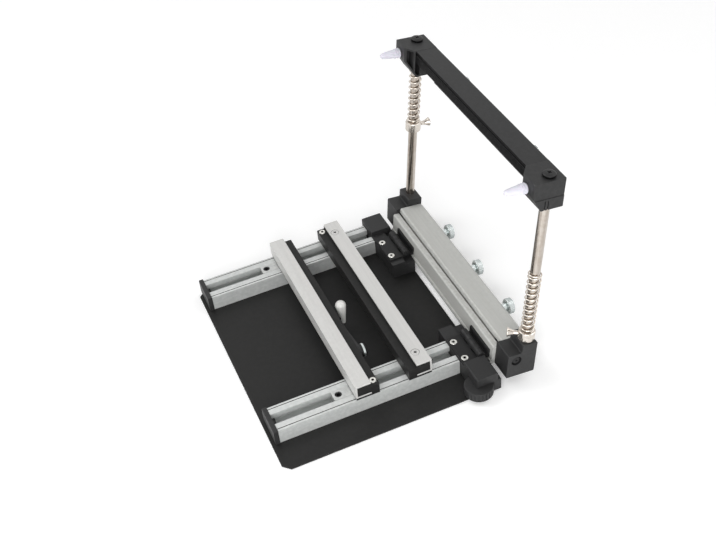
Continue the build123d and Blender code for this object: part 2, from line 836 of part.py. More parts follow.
# Thumb screws behind the bar and the beam
def build_thumb_screw(rear_face, up, x, neck, tip):
    """Knurled thumb screw on a neck behind a rear face, with its shank reaching forward to its tip."""
    head_back = rear_face + thumb_gap + neck + thumb_head_height
    with BuildPart() as screw:
        with Locations(in_frame(head_back, up, x, FRONT)):
            Cylinder(thumb_head_radius, thumb_head_height, align=LOW)
        chamfer(screw.edges(), thumb_chamfer)
        with Locations(in_frame(head_back, up, x, FRONT)):
            with PolarLocations(thumb_head_radius, thumb_knurls):
                Cylinder(thumb_knurl_radius, thumb_head_height, align=LOW, mode=Mode.SUBTRACT)
            Cylinder(thumb_hollow_radius, thumb_hollow_depth, align=LOW, mode=Mode.SUBTRACT)
        with Locations(in_frame(rear_face + thumb_gap, up, x, REAR)):
            Cylinder(thumb_neck_radius, neck, align=LOW)
            Cylinder(m4_radius, rear_face + thumb_gap - tip, align=HIGH)
    return screw


for name, x in zip(("left", "middle", "right"), bar_thumb_x):
    bar_screw_tip = jaw_back + thumb_tip_gap
    save(build_thumb_screw(bar_rear, bar_thumb_up, x, bar_thumb_neck, bar_screw_tip), f"bar_thumb_screw_{name}")

for name, x in zip(("left", "right"), beam_thumb_x):
    beam_screw_tip = beam_jaw_back - beam_jaw_thickness - beam_jaw_gap
    save(build_thumb_screw(beam_rear, beam_thumb_up, x, beam_thumb_neck, beam_screw_tip), f"beam_thumb_screw_{name}")


# Collars on the posts, their flared thumb screws and the springs that stand on them
collar_up = {-1: left_collar_up, 1: end_boss_top + right_collar_gap}
thumb_angle = {-1: left_thumb_angle, 1: right_thumb_angle}


def collar_thumb_location(side, distance):
    """Location on the axis of a collar's thumb screw, at a distance from the post's axis, Z outwards."""
    angle = math.radians(thumb_angle[side])
    middle = collar_up[side] + collar_height / 2
    across = post_across + distance * math.sin(angle)
    x = side * post_x + distance * math.cos(angle)
    direction = Vector(math.cos(angle), 0, 0) + REAR * math.sin(angle)
    return in_frame(across, middle, x, direction)


def build_collar(side):
    """Collar that slides on the post, with a hole for its thumb screw."""
    with BuildPart() as collar:
        with Locations(in_frame(post_across, collar_up[side], side * post_x, UP)):
            Cylinder(collar_radius, collar_height, align=LOW)
            chamfer(collar.edges(), collar_edge)
            Cylinder(post_radius + collar_fit, collar_height, align=LOW, mode=Mode.SUBTRACT)
        with Locations(collar_thumb_location(side, 0)):
            plain_hole(m3_radius, collar_radius)
    return collar


def build_collar_screw(side):
    """Thumb screw of a collar, flared like a trumpet and hollow at its end."""
    flare = collar_thumb_length - collar_thumb_neck_length
    with BuildPart() as screw:
        tip = post_radius + collar_fit + screw_fit
        with Locations(collar_thumb_location(side, tip)):
            Cylinder(m3_radius, collar_radius + collar_thumb_gap - tip, align=LOW)
        with Locations(collar_thumb_location(side, collar_radius + collar_thumb_gap)):
            Cylinder(collar_thumb_neck, collar_thumb_neck_length, align=LOW)
        with Locations(collar_thumb_location(side, collar_radius + collar_thumb_gap + collar_thumb_neck_length)):
            Cone(collar_thumb_neck, collar_thumb_radius, flare, align=LOW)
        with Locations(collar_thumb_location(side, collar_radius + collar_thumb_gap + collar_thumb_length)):
            Cone(collar_thumb_hollow / 2, collar_thumb_hollow, flare / 2, align=HIGH, mode=Mode.SUBTRACT)
    return screw


for side in (-1, 1):
    save(build_collar(side), f"{side_name(side)}_collar")
    save(build_collar_screw(side), f"{side_name(side)}_collar_screw")


def spring_climb(turns, length):
    """Pitch of a spring's open turns; one closed turn stands at each end."""
    return (length - wire_diameter - 2 * spring_end_pitch) / (turns - 2)


def spring_height(turn, turns, length):
    """Height of the wire's middle after a number of turns."""
    height = wire_diameter / 2 + spring_end_pitch * min(turn, 1)
    height += spring_climb(turns, length) * max(0, min(turn, turns - 1) - 1)
    return height + spring_end_pitch * max(0, turn - (turns - 1))


def spring_point(turn, turns, length):
    """Point of the wire's middle about the post's axis after a number of turns."""
    angle = 2 * math.pi * turn
    return Vector(spring_radius * math.cos(angle), spring_radius * math.sin(angle), spring_height(turn, turns, length))


def spring_tangent(turn, turns, length):
    """Direction of the wire after a number of turns; where the pitch changes it is the mean of both."""
    step = 0.01
    before = spring_height(max(turn - step, 0), turns, length)
    after = spring_height(min(turn + step, turns), turns, length)
    rise = (after - before) / (min(turn + step, turns) - max(turn - step, 0)) / (2 * math.pi)
    angle = 2 * math.pi * turn
    return Vector(-spring_radius * math.sin(angle), spring_radius * math.cos(angle), rise).normalized()


def biarc_joint(start, start_direction, end, end_direction):
    """Point where two tangent arcs meet on their way between two points with given directions."""
    chord = end - start
    directions = start_direction + end_direction
    square = 4 - directions.dot(directions)
    along = chord.dot(directions)
    reach = (math.sqrt(along * along + square * chord.dot(chord)) - along) / square
    return (start + start_direction * reach + end - end_direction * reach) / 2


def least_gap(turns, length):
    """Least clear distance between neighbouring turns of a spring, measured on points of the wire."""
    samples = [spring_point(number / 36, turns, length) for number in range(36 * turns + 1)]
    far_apart = 18
    distances = [
        (samples[first] - samples[second]).length
        for first in range(len(samples))
        for second in range(first + far_apart, min(first + 3 * far_apart, len(samples)))
    ]
    return min(distances) - wire_diameter


def build_spring(side, turns, length):
    """Compression spring round a post, standing on its collar, as one wire on half-turn biarcs."""
    foot = in_frame(post_across, collar_up[side] + collar_height + spring_clearance, side * post_x, UP)
    with BuildPart() as spring:
        with BuildLine() as wire:
            for number in range(2 * turns):
                start, end = (spring_point(turn / 2, turns, length) for turn in (number, number + 1))
                start_way, end_way = (spring_tangent(turn / 2, turns, length) for turn in (number, number + 1))
                joint = biarc_joint(start, start_way, end, end_way)
                first = TangentArc(start, joint, tangent=start_way)
                TangentArc(joint, end, tangent=first % 1)
        with BuildSketch(Plane(origin=wire.line @ 0, z_dir=wire.line % 0)):
            Circle(wire_diameter / 2)
        sweep()
    spring.part.locate(foot)
    print(f"{side_name(side)} spring: least gap {least_gap(turns, length):.2f} mm")
    return spring


left_spring_length = beam_end_bottom - left_collar_up - collar_height - 2 * spring_clearance
save(build_spring(-1, left_spring_turns, left_spring_length), "left_spring")
save(build_spring(1, right_spring_turns, right_spring_length), "right_spring")


# Crossbars: an aluminium channel round a core, on sliders in the rail slots
crossbar_length = crossbar_right - crossbar_left
inside_fit = channel_wall + core_clearance
rail_middles = (left_rail_x, right_rail_x)


def away(web, opening, depth):
    """Y at a depth behind a channel's web, measured towards its opening."""
    return web + opening * depth


def block_outline(web, opening, near, far, bottom, top, mode=Mode.ADD):
    """Rectangle between two depths behind the web and two heights, in a plane along the rails."""
    with Locations((away(web, opening, (near + far) / 2), (bottom + top) / 2)):
        Rectangle(far - near, top - bottom, mode=mode)


def build_channel(web, opening, top_depths, under_depths):
    """Channel with its web on one side and its opening on the other."""
    with BuildPart() as channel:
        with BuildSketch(plane_at_x(crossbar_left)):
            block_outline(web, opening, 0, channel_depth, channel_bottom, channel_top)
            inner_bottom = channel_bottom + channel_wall
            inner_top = channel_top - channel_wall
            block_outline(web, opening, channel_wall, channel_depth, inner_bottom, inner_top, Mode.SUBTRACT)
        extrude(amount=crossbar_length)
        drill_crossbar(web, opening, top_depths)
        drill_under(web, opening, under_depths)
    return channel


def drill_crossbar(web, opening, depths):
    """Countersunk holes from the top of a crossbar over the middle of each rail."""
    for depth in depths:
        with Locations(*[facing(x, away(web, opening, depth), channel_top, (0, 0, -1)) for x in rail_middles]):
            countersunk_hole(m4_radius, channel_top - slider_top)


def drill_under(web, opening, depths):
    """Holes that go up into a crossbar from the top of its sliders."""
    for depth in depths:
        with Locations(*[(x, away(web, opening, depth), slider_top) for x in rail_middles]):
            plain_hole(m3_radius, under_screw_grip)


def build_core(web, opening, top_depths, under_depths, core_screw_x):
    """Core that fills the channel, stands under it on the rails and reaches out of its opening."""
    core_back = channel_depth + core_reach
    with BuildPart() as core:
        with BuildSketch(plane_at_x(crossbar_left)):
            inner_bottom = channel_bottom + inside_fit
            inner_top = channel_top - inside_fit
            foot_top = channel_bottom - core_clearance
            block_outline(web, opening, inside_fit, channel_depth + core_clearance, inner_bottom, inner_top)
            block_outline(web, opening, channel_depth + core_clearance, core_back, slider_top, core_top)
            block_outline(web, opening, core_foot_inset, core_back, slider_top, foot_top)
        extrude(amount=crossbar_length)
        drill_crossbar(web, opening, top_depths)
        drill_under(web, opening, under_depths)
        with Locations(core_screw_location(web, opening, core_screw_x)):
            plain_hole(m3_radius, core_screw_length)
        if opening > 0:
            with Locations(facing(lever_pivot_x, away(web, opening, core_back), lever_pivot_up, (0, -opening, 0))):
                plain_hole(m5_radius, lever_shank_length)
    return core


def core_screw_location(web, opening, x):
    """Location of a core's ring-headed screw, with Z into the core."""
    return facing(x, away(web, opening, channel_depth + core_reach / 2), core_top, (0, 0, -1))


def build_sliders(web, opening, nose, top_depths, under_depths):
    """Two sliders, one in each rail slot; a long nose sticks out in front of the web and takes a set screw."""
    slider_middle = away(web, opening, (slider_tail - nose) / 2)
    with BuildPart() as sliders:
        with Locations(*[(x, slider_middle, tee_bottom) for x in rail_middles]):
            Box(tee_width - 2 * slider_fit, nose + slider_tail, slider_tee_height, align=LOW)
            Box(slot_width - 2 * slider_fit, nose + slider_tail, slider_top - tee_bottom, align=LOW)
        for depth in top_depths:
            with Locations(*[(x, away(web, opening, depth), tee_bottom) for x in rail_middles]):
                plain_hole(m4_radius, slider_top - tee_bottom)
        for depth in under_depths:
            with Locations(*[(x, away(web, opening, depth), tee_bottom) for x in rail_middles]):
                countersunk_hole(m3_radius, slider_top - tee_bottom)
        if nose > slider_screw_ahead:
            with Locations(*[(x, away(web, opening, -slider_screw_ahead), tee_bottom) for x in rail_middles]):
                plain_hole(m6_radius, slider_top - tee_bottom)
            pin_y = away(web, opening, -slider_pin_ahead)
            with Locations(*[facing(x, pin_y, slider_top, (0, 0, -1)) for x in rail_middles]):
                plain_hole(slider_pin_radius, slider_pin_depth)
    return sliders


def build_set_screws(web, opening):
    """Socket screws in the noses of the sliders, which lock them in the slots, and a pin behind each."""
    screw_height = slider_top - tee_bottom - slider_screw_sink
    screw_y = away(web, opening, -slider_screw_ahead)
    with BuildPart() as screws:
        with Locations(*[(x, screw_y, tee_bottom) for x in rail_middles]):
            Cylinder(m6_radius, screw_height, align=LOW)
        with BuildSketch(Plane.XY.offset(tee_bottom + screw_height)):
            with Locations(*[(x, screw_y) for x in rail_middles]):
                RegularPolygon(slider_screw_socket, 6)
        extrude(amount=-m6_radius, mode=Mode.SUBTRACT)
        pin_y = away(web, opening, -slider_pin_ahead)
        with Locations(*[facing(x, pin_y, slider_top, (0, 0, -1)) for x in rail_middles]):
            Cylinder(slider_pin_radius, slider_pin_depth, align=LOW)
    return screws


def build_core_screw(web, opening, x):
    """Ring-headed screw in the part of the core that reaches out of the channel."""
    with BuildPart() as screw:
        with Locations(core_screw_location(web, opening, x)):
            Cylinder(m3_radius, core_screw_length, align=LOW)
            Cylinder(ring_head_radius, ring_head_height, align=HIGH)
        head_face = core_top + ring_head_height
        with Locations((x, away(web, opening, channel_depth + core_reach / 2), head_face)):
            Cylinder(ring_hollow_radius, ring_hollow_depth, align=HIGH, mode=Mode.SUBTRACT)
    return screw


screw_depths = (cross_screw_back,)
front_core_screw_x = crossbar_right - core_screw_inset
rear_core_screw_x = crossbar_left + core_screw_inset
save(build_channel(front_bar_web, 1, (), screw_depths), "front_channel")
save(build_core(front_bar_web, 1, (), screw_depths, front_core_screw_x), "front_core")
save(build_sliders(front_bar_web, 1, front_slider_nose, (), screw_depths), "front_sliders")
save(build_set_screws(front_bar_web, 1), "front_set_screws")
save(build_core_screw(front_bar_web, 1, front_core_screw_x), "front_core_screw")
save(build_channel(rear_bar_web, -1, screw_depths, ()), "rear_channel")
save(build_core(rear_bar_web, -1, screw_depths, (), rear_core_screw_x), "rear_core")
save(build_sliders(rear_bar_web, -1, rear_slider_nose, screw_depths, ()), "rear_sliders")
save(build_core_screw(rear_bar_web, -1, rear_core_screw_x), "rear_core_screw")

with BuildPart() as front_slider_screws:
    with Locations(*[(x, away(front_bar_web, 1, cross_screw_back), tee_bottom) for x in rail_middles]):
        countersunk_screw(m3_radius, slider_top - tee_bottom + under_screw_grip)
save(front_slider_screws, "front_slider_screws")

with BuildPart() as rear_cross_screws:
    cross_screw_y = away(rear_bar_web, -1, cross_screw_back)
    with Locations(*[facing(x, cross_screw_y, channel_top, (0, 0, -1)) for x in rail_middles]):
        countersunk_screw(m4_radius, channel_top - slider_top + cross_screw_grip)
save(rear_cross_screws, "rear_cross_screws")


# Lock lever behind the front crossbar's core: a flat arm, a hub whose shank holds it, and a leaning grip on a stud
core_face = away(front_bar_web, 1, channel_depth + core_reach)
arm_front = core_face + lever_gap
arm_back = arm_front + lever_arm_thickness
arm_end_x = lever_pivot_x - lever_arm_length
grip_y = arm_back + grip_arm_gap + grip_thick_radius
grip_straight = grip_length - grip_thick_radius
grip_turn = math.radians(grip_lean)
grip_foot_x = arm_end_x + grip_below_arm * math.tan(grip_turn)
grip_foot = Plane(
    origin=(grip_foot_x, grip_y, lever_pivot_up - grip_below_arm),
    z_dir=(-math.sin(grip_turn), 0, math.cos(grip_turn)),
)
stud_length = grip_arm_gap + grip_thick_radius
stud_up = lever_pivot_up - lever_arm_fall
stud_x = grip_foot_x - (grip_below_arm - lever_arm_fall) * math.tan(grip_turn)

with BuildPart() as lever_hub:
    with Locations(facing(lever_pivot_x, arm_back, lever_pivot_up, (0, 1, 0))):
        Cylinder(lever_hub_radius, lever_hub_height, align=LOW)
    chamfer(lever_hub.edges().filter_by(GeomType.CIRCLE).sort_by(Axis.Y)[-1], lever_edge)
    with Locations(facing(lever_pivot_x, arm_back, lever_pivot_up, (0, 1, 0))):
        Cylinder(m5_radius, lever_arm_thickness + lever_gap + lever_shank_length, align=HIGH)
save(lever_hub, "lever_hub")

with BuildPart() as lever_arm:
    with BuildSketch(plane_at_y(arm_back)):
        with Locations((lever_pivot_x, lever_pivot_up)):
            Circle(lever_arm_width / 2)
        with Locations((stud_x, stud_up)):
            Circle(lever_arm_end_radius)
        make_hull()
    extrude(amount=lever_arm_thickness)
    with Locations(facing(lever_pivot_x, arm_back, lever_pivot_up, (0, -1, 0))):
        plain_hole(m5_radius, lever_arm_thickness)
    with Locations(facing(stud_x, arm_back, stud_up, (0, 1, 0))):
        Cylinder(lever_stud_radius, stud_length, align=LOW)
save(lever_arm, "lever_arm")

with BuildPart() as lever_grip:
    with Locations(grip_foot):
        Cone(grip_thin_radius, grip_thick_radius, grip_straight, align=LOW)
        with Locations((0, 0, grip_straight)):
            Sphere(grip_thick_radius)
    with Locations(facing(stud_x, arm_back, stud_up, (0, 1, 0))):
        Cylinder(lever_stud_radius + lever_stud_fit, stud_length + lever_stud_fit, align=LOW, mode=Mode.SUBTRACT)
save(lever_grip, "lever_grip")
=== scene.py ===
"""Looks of the stencil printer.

Finishes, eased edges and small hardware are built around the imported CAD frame. Pieces are shaped in
millimetres on a bench of edit-mode operators and settled in metres where the CAD has them.
"""

from __future__ import annotations

import json
import logging
import math
from contextlib import contextmanager
from dataclasses import dataclass
from enum import Enum
from typing import Callable, Iterable, Iterator, Sequence

import bmesh
import bpy
from mathutils import Matrix, Vector

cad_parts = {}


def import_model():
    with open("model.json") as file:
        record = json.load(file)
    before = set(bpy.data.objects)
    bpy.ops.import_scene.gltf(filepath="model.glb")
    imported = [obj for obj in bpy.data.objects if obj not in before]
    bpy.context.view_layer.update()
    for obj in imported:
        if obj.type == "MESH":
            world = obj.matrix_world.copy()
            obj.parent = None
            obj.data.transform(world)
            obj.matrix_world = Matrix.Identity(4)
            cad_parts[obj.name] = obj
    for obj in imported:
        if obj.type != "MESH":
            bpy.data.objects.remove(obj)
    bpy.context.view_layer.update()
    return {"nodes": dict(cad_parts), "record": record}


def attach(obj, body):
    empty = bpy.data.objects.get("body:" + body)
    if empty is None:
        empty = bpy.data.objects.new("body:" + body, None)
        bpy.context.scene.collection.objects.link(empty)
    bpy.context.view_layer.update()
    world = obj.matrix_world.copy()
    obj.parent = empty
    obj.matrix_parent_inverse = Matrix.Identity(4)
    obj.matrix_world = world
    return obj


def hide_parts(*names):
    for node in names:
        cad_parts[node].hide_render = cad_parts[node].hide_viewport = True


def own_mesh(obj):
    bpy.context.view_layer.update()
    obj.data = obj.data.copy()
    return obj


log = logging.getLogger("stencil_printer")

MM = 0.001
LEAN = math.radians(5.7)
HINGE = Vector((0.0, 0.0, 20.0))
REAR = Vector((0.0, math.cos(LEAN), -math.sin(LEAN)))
UP = Vector((0.0, math.sin(LEAN), math.cos(LEAN)))
ACROSS = Vector((1.0, 0.0, 0.0))
SKY = Vector((0.0, 0.0, 1.0))
SIDES = (("left", -1), ("right", 1))
RAIL_MIDDLES = {"left": -99.3, "right": 73.2}
LEAF_SCREWS = (-78.3, -57.9, 66.7, 87.1)
POST_X = 109.0
POST_ACROSS = 29.6
GRAIN_DEPTH = 0.00006
PEBBLE_DEPTH = 0.00008
DUST = (0.5, 0.48, 0.45)
SEAM = 0.0005
NODE_SEAM = 0.002
FLAT = math.radians(0.4)
SMOOTH = 32.0
FACE_WEIGHT = 60
FLOOR_DROP = 0.0002
Colour = tuple[float, float, float]


class Run(Enum):
    """The way that a drawn or brushed surface runs, as the stretch of its grain along X, Y and Z."""

    ALONG_X = (0.02, 1.0, 1.0)
    ALONG_Y = (1.0, 0.02, 1.0)
    ALONG_Z = (1.0, 1.0, 0.02)
    EVEN = (1.0, 1.0, 1.0)


def leaning(across: float, up: float, x: float) -> Vector:
    """Finds a point of the open frame, from its distances behind and above the hinge axis and to the right."""
    return HINGE + REAR * across + UP * up + ACROSS * x


def aim(place: Vector, direction: Vector, side: Vector | None = None) -> Matrix:
    """Makes the placing of a piece that was shaped about the Z axis.

    Args:
        place: Where the piece's origin goes, in millimetres.
        direction: Where the piece's Z axis points.
        side: Where the piece's X axis points, as near as it can.

    Returns:
        The placing as a matrix.
    """
    z_axis = direction.normalized()
    hint = side if side is not None else (ACROSS if abs(z_axis.x) < 0.9 else SKY)
    y_axis = z_axis.cross(hint).normalized()
    x_axis = y_axis.cross(z_axis)
    turn = Matrix((x_axis, y_axis, z_axis)).transposed().to_4x4()
    return Matrix.Translation(place) @ turn


# ---------------------------------------------------------------- shader groups


class Graph:
    """A node tree that is wired in few words."""

    def __init__(self, tree: bpy.types.NodeTree) -> None:
        """Takes the tree to wire."""
        self.tree = tree

    def node(self, kind: str, settings: dict | None = None, **inputs: object) -> bpy.types.Node:
        """Adds a node.

        Args:
            kind: Type name, without its ShaderNode prefix unless it is a group's input or output.
            settings: Properties of the node, by name.
            **inputs: Values or output sockets for its inputs, by name with _ for a space, or i0, i1 for a place.

        Returns:
            The new node.
        """
        made = self.tree.nodes.new(kind if kind.startswith("Node") else f"ShaderNode{kind}")
        for name, value in (settings or {}).items():
            setattr(made, name, value)
        for name, value in inputs.items():
            key = int(name[1:]) if name[0] == "i" and name[1:].isdigit() else name.replace("_", " ")
            if isinstance(value, bpy.types.NodeSocket):
                self.tree.links.new(value, made.inputs[key])
            else:
                made.inputs[key].default_value = value
        return made

    def ramp(self, value: bpy.types.NodeSocket, stops: Sequence[tuple[float, Colour]]) -> bpy.types.NodeSocket:
        """Turns a value into a colour, from places from 0 to 1 that each have one."""
        made = self.node("ValToRGB", Fac=value)
        elements = made.color_ramp.elements
        while len(elements) < len(stops):
            elements.new(0.5)
        for element, (place, colour) in zip(elements, stops):
            element.position = place
            element.color = (*colour, 1.0)
        return made.outputs["Color"]

    def spread(self, value: bpy.types.NodeSocket, low: float, high: float,
               ends: tuple[float, float] = (0.0, 1.0)) -> bpy.types.NodeSocket:
        """Maps a value between two limits onto two others, clamped."""
        return self.node("MapRange", i0=value, i1=low, i2=high, i3=ends[0], i4=ends[1]).outputs[0]

    def maths(self, kind: str, *values: object) -> bpy.types.NodeSocket:
        """Does one operation on values and sockets."""
        return self.node("Math", {"operation": kind}, **{f"i{k}": v for k, v in enumerate(values)}).outputs[0]

    def cover(self, under: bpy.types.NodeSocket, over: Colour, share: bpy.types.NodeSocket) -> bpy.types.NodeSocket:
        """Lays a colour over the one of a socket, by a share from 0 to 1."""
        return self.node("Mix", {"data_type": "RGBA"}, i0=share, i6=under, i7=(*over, 1)).outputs[2]

    def link(self, source: bpy.types.NodeSocket, node: bpy.types.Node, label: str) -> None:
        """Wires a socket to a node's input."""
        self.tree.links.new(source, node.inputs[label])


class Effect:
    """A shader node group that several finishes share."""

    def __init__(self, name: str, inputs: dict[str, float | tuple], outputs: Iterable[str],
                 wire: Callable[[Graph, bpy.types.Node, bpy.types.Node], None]) -> None:
        """Builds the group.

        Args:
            name: Name of the group.
            inputs: Its inputs with their usual values; a tuple makes a vector socket.
            outputs: Its outputs, which are values.
            wire: Function that wires it, from its graph, input node and output node.
        """
        self.tree = bpy.data.node_groups.new(name, "ShaderNodeTree")
        for label, value in inputs.items():
            kind = "NodeSocketVector" if isinstance(value, tuple) else "NodeSocketFloat"
            socket = self.tree.interface.new_socket(label, in_out="INPUT", socket_type=kind)
            socket.default_value = value
        for label in outputs:
            self.tree.interface.new_socket(label, in_out="OUTPUT", socket_type="NodeSocketFloat")
        graph = Graph(self.tree)
        wire(graph, graph.node("NodeGroupInput"), graph.node("NodeGroupOutput"))

    def use(self, graph: Graph, **inputs: object) -> bpy.types.Node:
        """Places the group in a material, with values for its inputs by name."""
        made = graph.node("Group", {"node_tree": self.tree})
        for label, value in inputs.items():
            made.inputs[label.replace("_", " ")].default_value = value
        return made


def wire_grain(graph: Graph, given: bpy.types.Node, result: bpy.types.Node) -> None:
    """Wires fine lines that run one way, with slow blotches between them."""
    flat = graph.node("TexCoord").outputs["Object"]
    place = graph.node("VectorRotate", {"rotation_type": "X_AXIS"}, Vector=flat, Angle=given.outputs["Lean"]).outputs[0]
    drawn = graph.node("VectorMath", {"operation": "MULTIPLY"}, i0=place, i1=given.outputs["Run"]).outputs[0]
    fine = graph.node("TexNoise", Vector=drawn, Scale=given.outputs["Scale"], Detail=3.0, Roughness=0.65)
    wide = graph.maths("MULTIPLY", given.outputs["Scale"], 0.12)
    coarse = graph.node("TexNoise", Vector=drawn, Scale=wide, Detail=2.0)
    blotch = graph.node("TexNoise", Vector=place, Scale=45.0, Detail=3.0)
    lines = graph.maths("MULTIPLY", fine.outputs[0], 0.6)
    both = graph.maths("MULTIPLY_ADD", coarse.outputs[0], 0.4, lines)
    graph.link(both, result, "Lines")
    graph.link(graph.spread(blotch.outputs[0], 0.3, 0.7), result, "Blotch")


def wire_pebble(graph: Graph, given: bpy.types.Node, result: bpy.types.Node) -> None:
    """Wires the fine pebbled skin of powder coat and moulded plastic."""
    place = graph.node("TexCoord").outputs["Object"]
    cells = graph.node("TexVoronoi", {"feature": "SMOOTH_F1"}, Vector=place, Scale=given.outputs["Scale"])
    noise = graph.node("TexNoise", Vector=place, Scale=given.outputs["Scale"], Detail=4.0)
    half = graph.maths("MULTIPLY", cells.outputs["Distance"], 0.5)
    skin = graph.maths("MULTIPLY_ADD", noise.outputs[0], 0.5, half)
    handled = graph.node("TexNoise", Vector=place, Scale=22.0, Detail=4.0, Roughness=0.6)
    graph.link(skin, result, "Skin")
    graph.link(graph.spread(handled.outputs[0], 0.35, 0.68), result, "Handled")


def wire_wear_and_highlight(graph: Graph, given: bpy.types.Node, result: bpy.types.Node) -> None:
    """Wires a mask of rubbed edges, which on metal also paints a highlight along the edges, and one of dust on upward
    faces.
    """
    coordinates = graph.node("TexCoord")
    noise = graph.node("TexNoise", Vector=coordinates.outputs["Object"], Scale=given.outputs["Scale"], Detail=5.0)
    edges = graph.spread(graph.node("NewGeometry").outputs["Pointiness"], 0.52, 0.62)
    broken = graph.spread(noise.outputs[0], 0.42, 0.62)
    edge_spots = graph.maths("MULTIPLY", edges, broken)
    rubbed_and_highlit = graph.maths("MULTIPLY", edge_spots, given.outputs["Wear"])
    up = graph.node("SeparateXYZ", i0=coordinates.outputs["Normal"]).outputs[2]
    lying = graph.maths("MULTIPLY", graph.spread(up, 0.6, 1.0), noise.outputs[0])
    dusty = graph.maths("MULTIPLY", lying, given.outputs["Dust"])
    graph.link(rubbed_and_highlit, result, "Worn")
    graph.link(dusty, result, "Dusty")


class Effects:
    """The shader node groups of this part."""

    def __init__(self) -> None:
        """Builds each group once."""
        self.grain = Effect("drawn_grain", {"Run": (1.0, 1.0, 1.0), "Scale": 3000.0, "Lean": 0.0},
                            ("Lines", "Blotch"), wire_grain)
        self.pebble = Effect("pebbled_skin", {"Scale": 2500.0}, ("Skin", "Handled"), wire_pebble)
        self.wear_and_highlight = Effect("edge_wear", {"Scale": 300.0, "Wear": 0.4, "Dust": 0.1}, ("Worn", "Dusty"), wire_wear_and_highlight)


# ---------------------------------------------------------------- finishes


@dataclass(frozen=True)
class Metal:
    """Bare or plated metal with a drawn or brushed grain."""

    name: str
    dark: Colour
    light: Colour
    rough: tuple[float, float]
    run: Run = Run.EVEN
    grain: float = 3000.0
    bump: float = 0.15
    metallic: float = 1.0
    wear_and_highlight: float = 0.2
    lean: float = 0.0
    # Light edge colour: partly edge wear, partly a painted highlight along the sharp edges.
    rubbed_and_highlit: Colour = (0.86, 0.86, 0.85)

    def mix(self, effects: Effects) -> bpy.types.Material:
        """Makes the material with the shared shader groups."""
        material, graph, shader = start_material(self.name)
        grain = effects.grain.use(graph, Run=self.run.value, Scale=self.grain, Lean=self.lean)
        wear_and_highlight = effects.wear_and_highlight.use(graph, Wear=self.wear_and_highlight, Dust=0.0)
        colour = graph.ramp(graph.spread(grain.outputs["Lines"], 0.34, 0.66), ((0.0, self.dark), (1.0, self.light)))
        graph.link(graph.cover(colour, self.rubbed_and_highlit, wear_and_highlight.outputs["Worn"]), shader, "Base Color")
        graph.link(graph.spread(grain.outputs["Blotch"], 0.0, 1.0, self.rough), shader, "Roughness")
        bump = graph.node("Bump", Height=grain.outputs["Lines"], Strength=self.bump, Distance=GRAIN_DEPTH)
        graph.link(bump.outputs[0], shader, "Normal")
        shader.inputs["Metallic"].default_value = self.metallic
        return material


@dataclass(frozen=True)
class Coat:
    """Powder coat, paint or moulded plastic with a pebbled skin."""

    name: str
    base: Colour
    handled: Colour
    rough: tuple[float, float]
    pebble: float = 2500.0
    bump: float = 0.25
    specular: float = 0.5
    wear_and_highlight: float = 0.3
    rubbed_and_highlit: Colour = (0.2, 0.2, 0.2)
    dust: float = 0.05
    glow: float = 0.0

    def mix(self, effects: Effects) -> bpy.types.Material:
        """Makes the material with the shared shader groups."""
        material, graph, shader = start_material(self.name)
        pebble = effects.pebble.use(graph, Scale=self.pebble)
        wear_and_highlight = effects.wear_and_highlight.use(graph, Wear=self.wear_and_highlight, Dust=self.dust)
        colour = graph.ramp(pebble.outputs["Handled"], ((0.0, self.base), (1.0, self.handled)))
        rubbed_and_highlit = graph.cover(colour, self.rubbed_and_highlit, wear_and_highlight.outputs["Worn"])
        graph.link(graph.cover(rubbed_and_highlit, DUST, wear_and_highlight.outputs["Dusty"]), shader, "Base Color")
        graph.link(graph.spread(pebble.outputs["Handled"], 0.0, 1.0, self.rough), shader, "Roughness")
        bump = graph.node("Bump", Height=pebble.outputs["Skin"], Strength=self.bump, Distance=PEBBLE_DEPTH)
        graph.link(bump.outputs[0], shader, "Normal")
        shader.inputs["Specular IOR Level"].default_value = self.specular
        if self.glow:
            shader.inputs["Subsurface Weight"].default_value = self.glow
            shader.inputs["Subsurface Radius"].default_value = (0.002, 0.0015, 0.0018)
            shader.inputs["Subsurface Scale"].default_value = 1.0
        return material


def start_material(name: str) -> tuple[bpy.types.Material, Graph, bpy.types.Node]:
    """Makes an empty node material and gives it with its graph and its shader node."""
    material = bpy.data.materials.new(name)
    material.use_nodes = True
    shader = material.node_tree.nodes["Principled BSDF"]
    return material, Graph(material.node_tree), shader


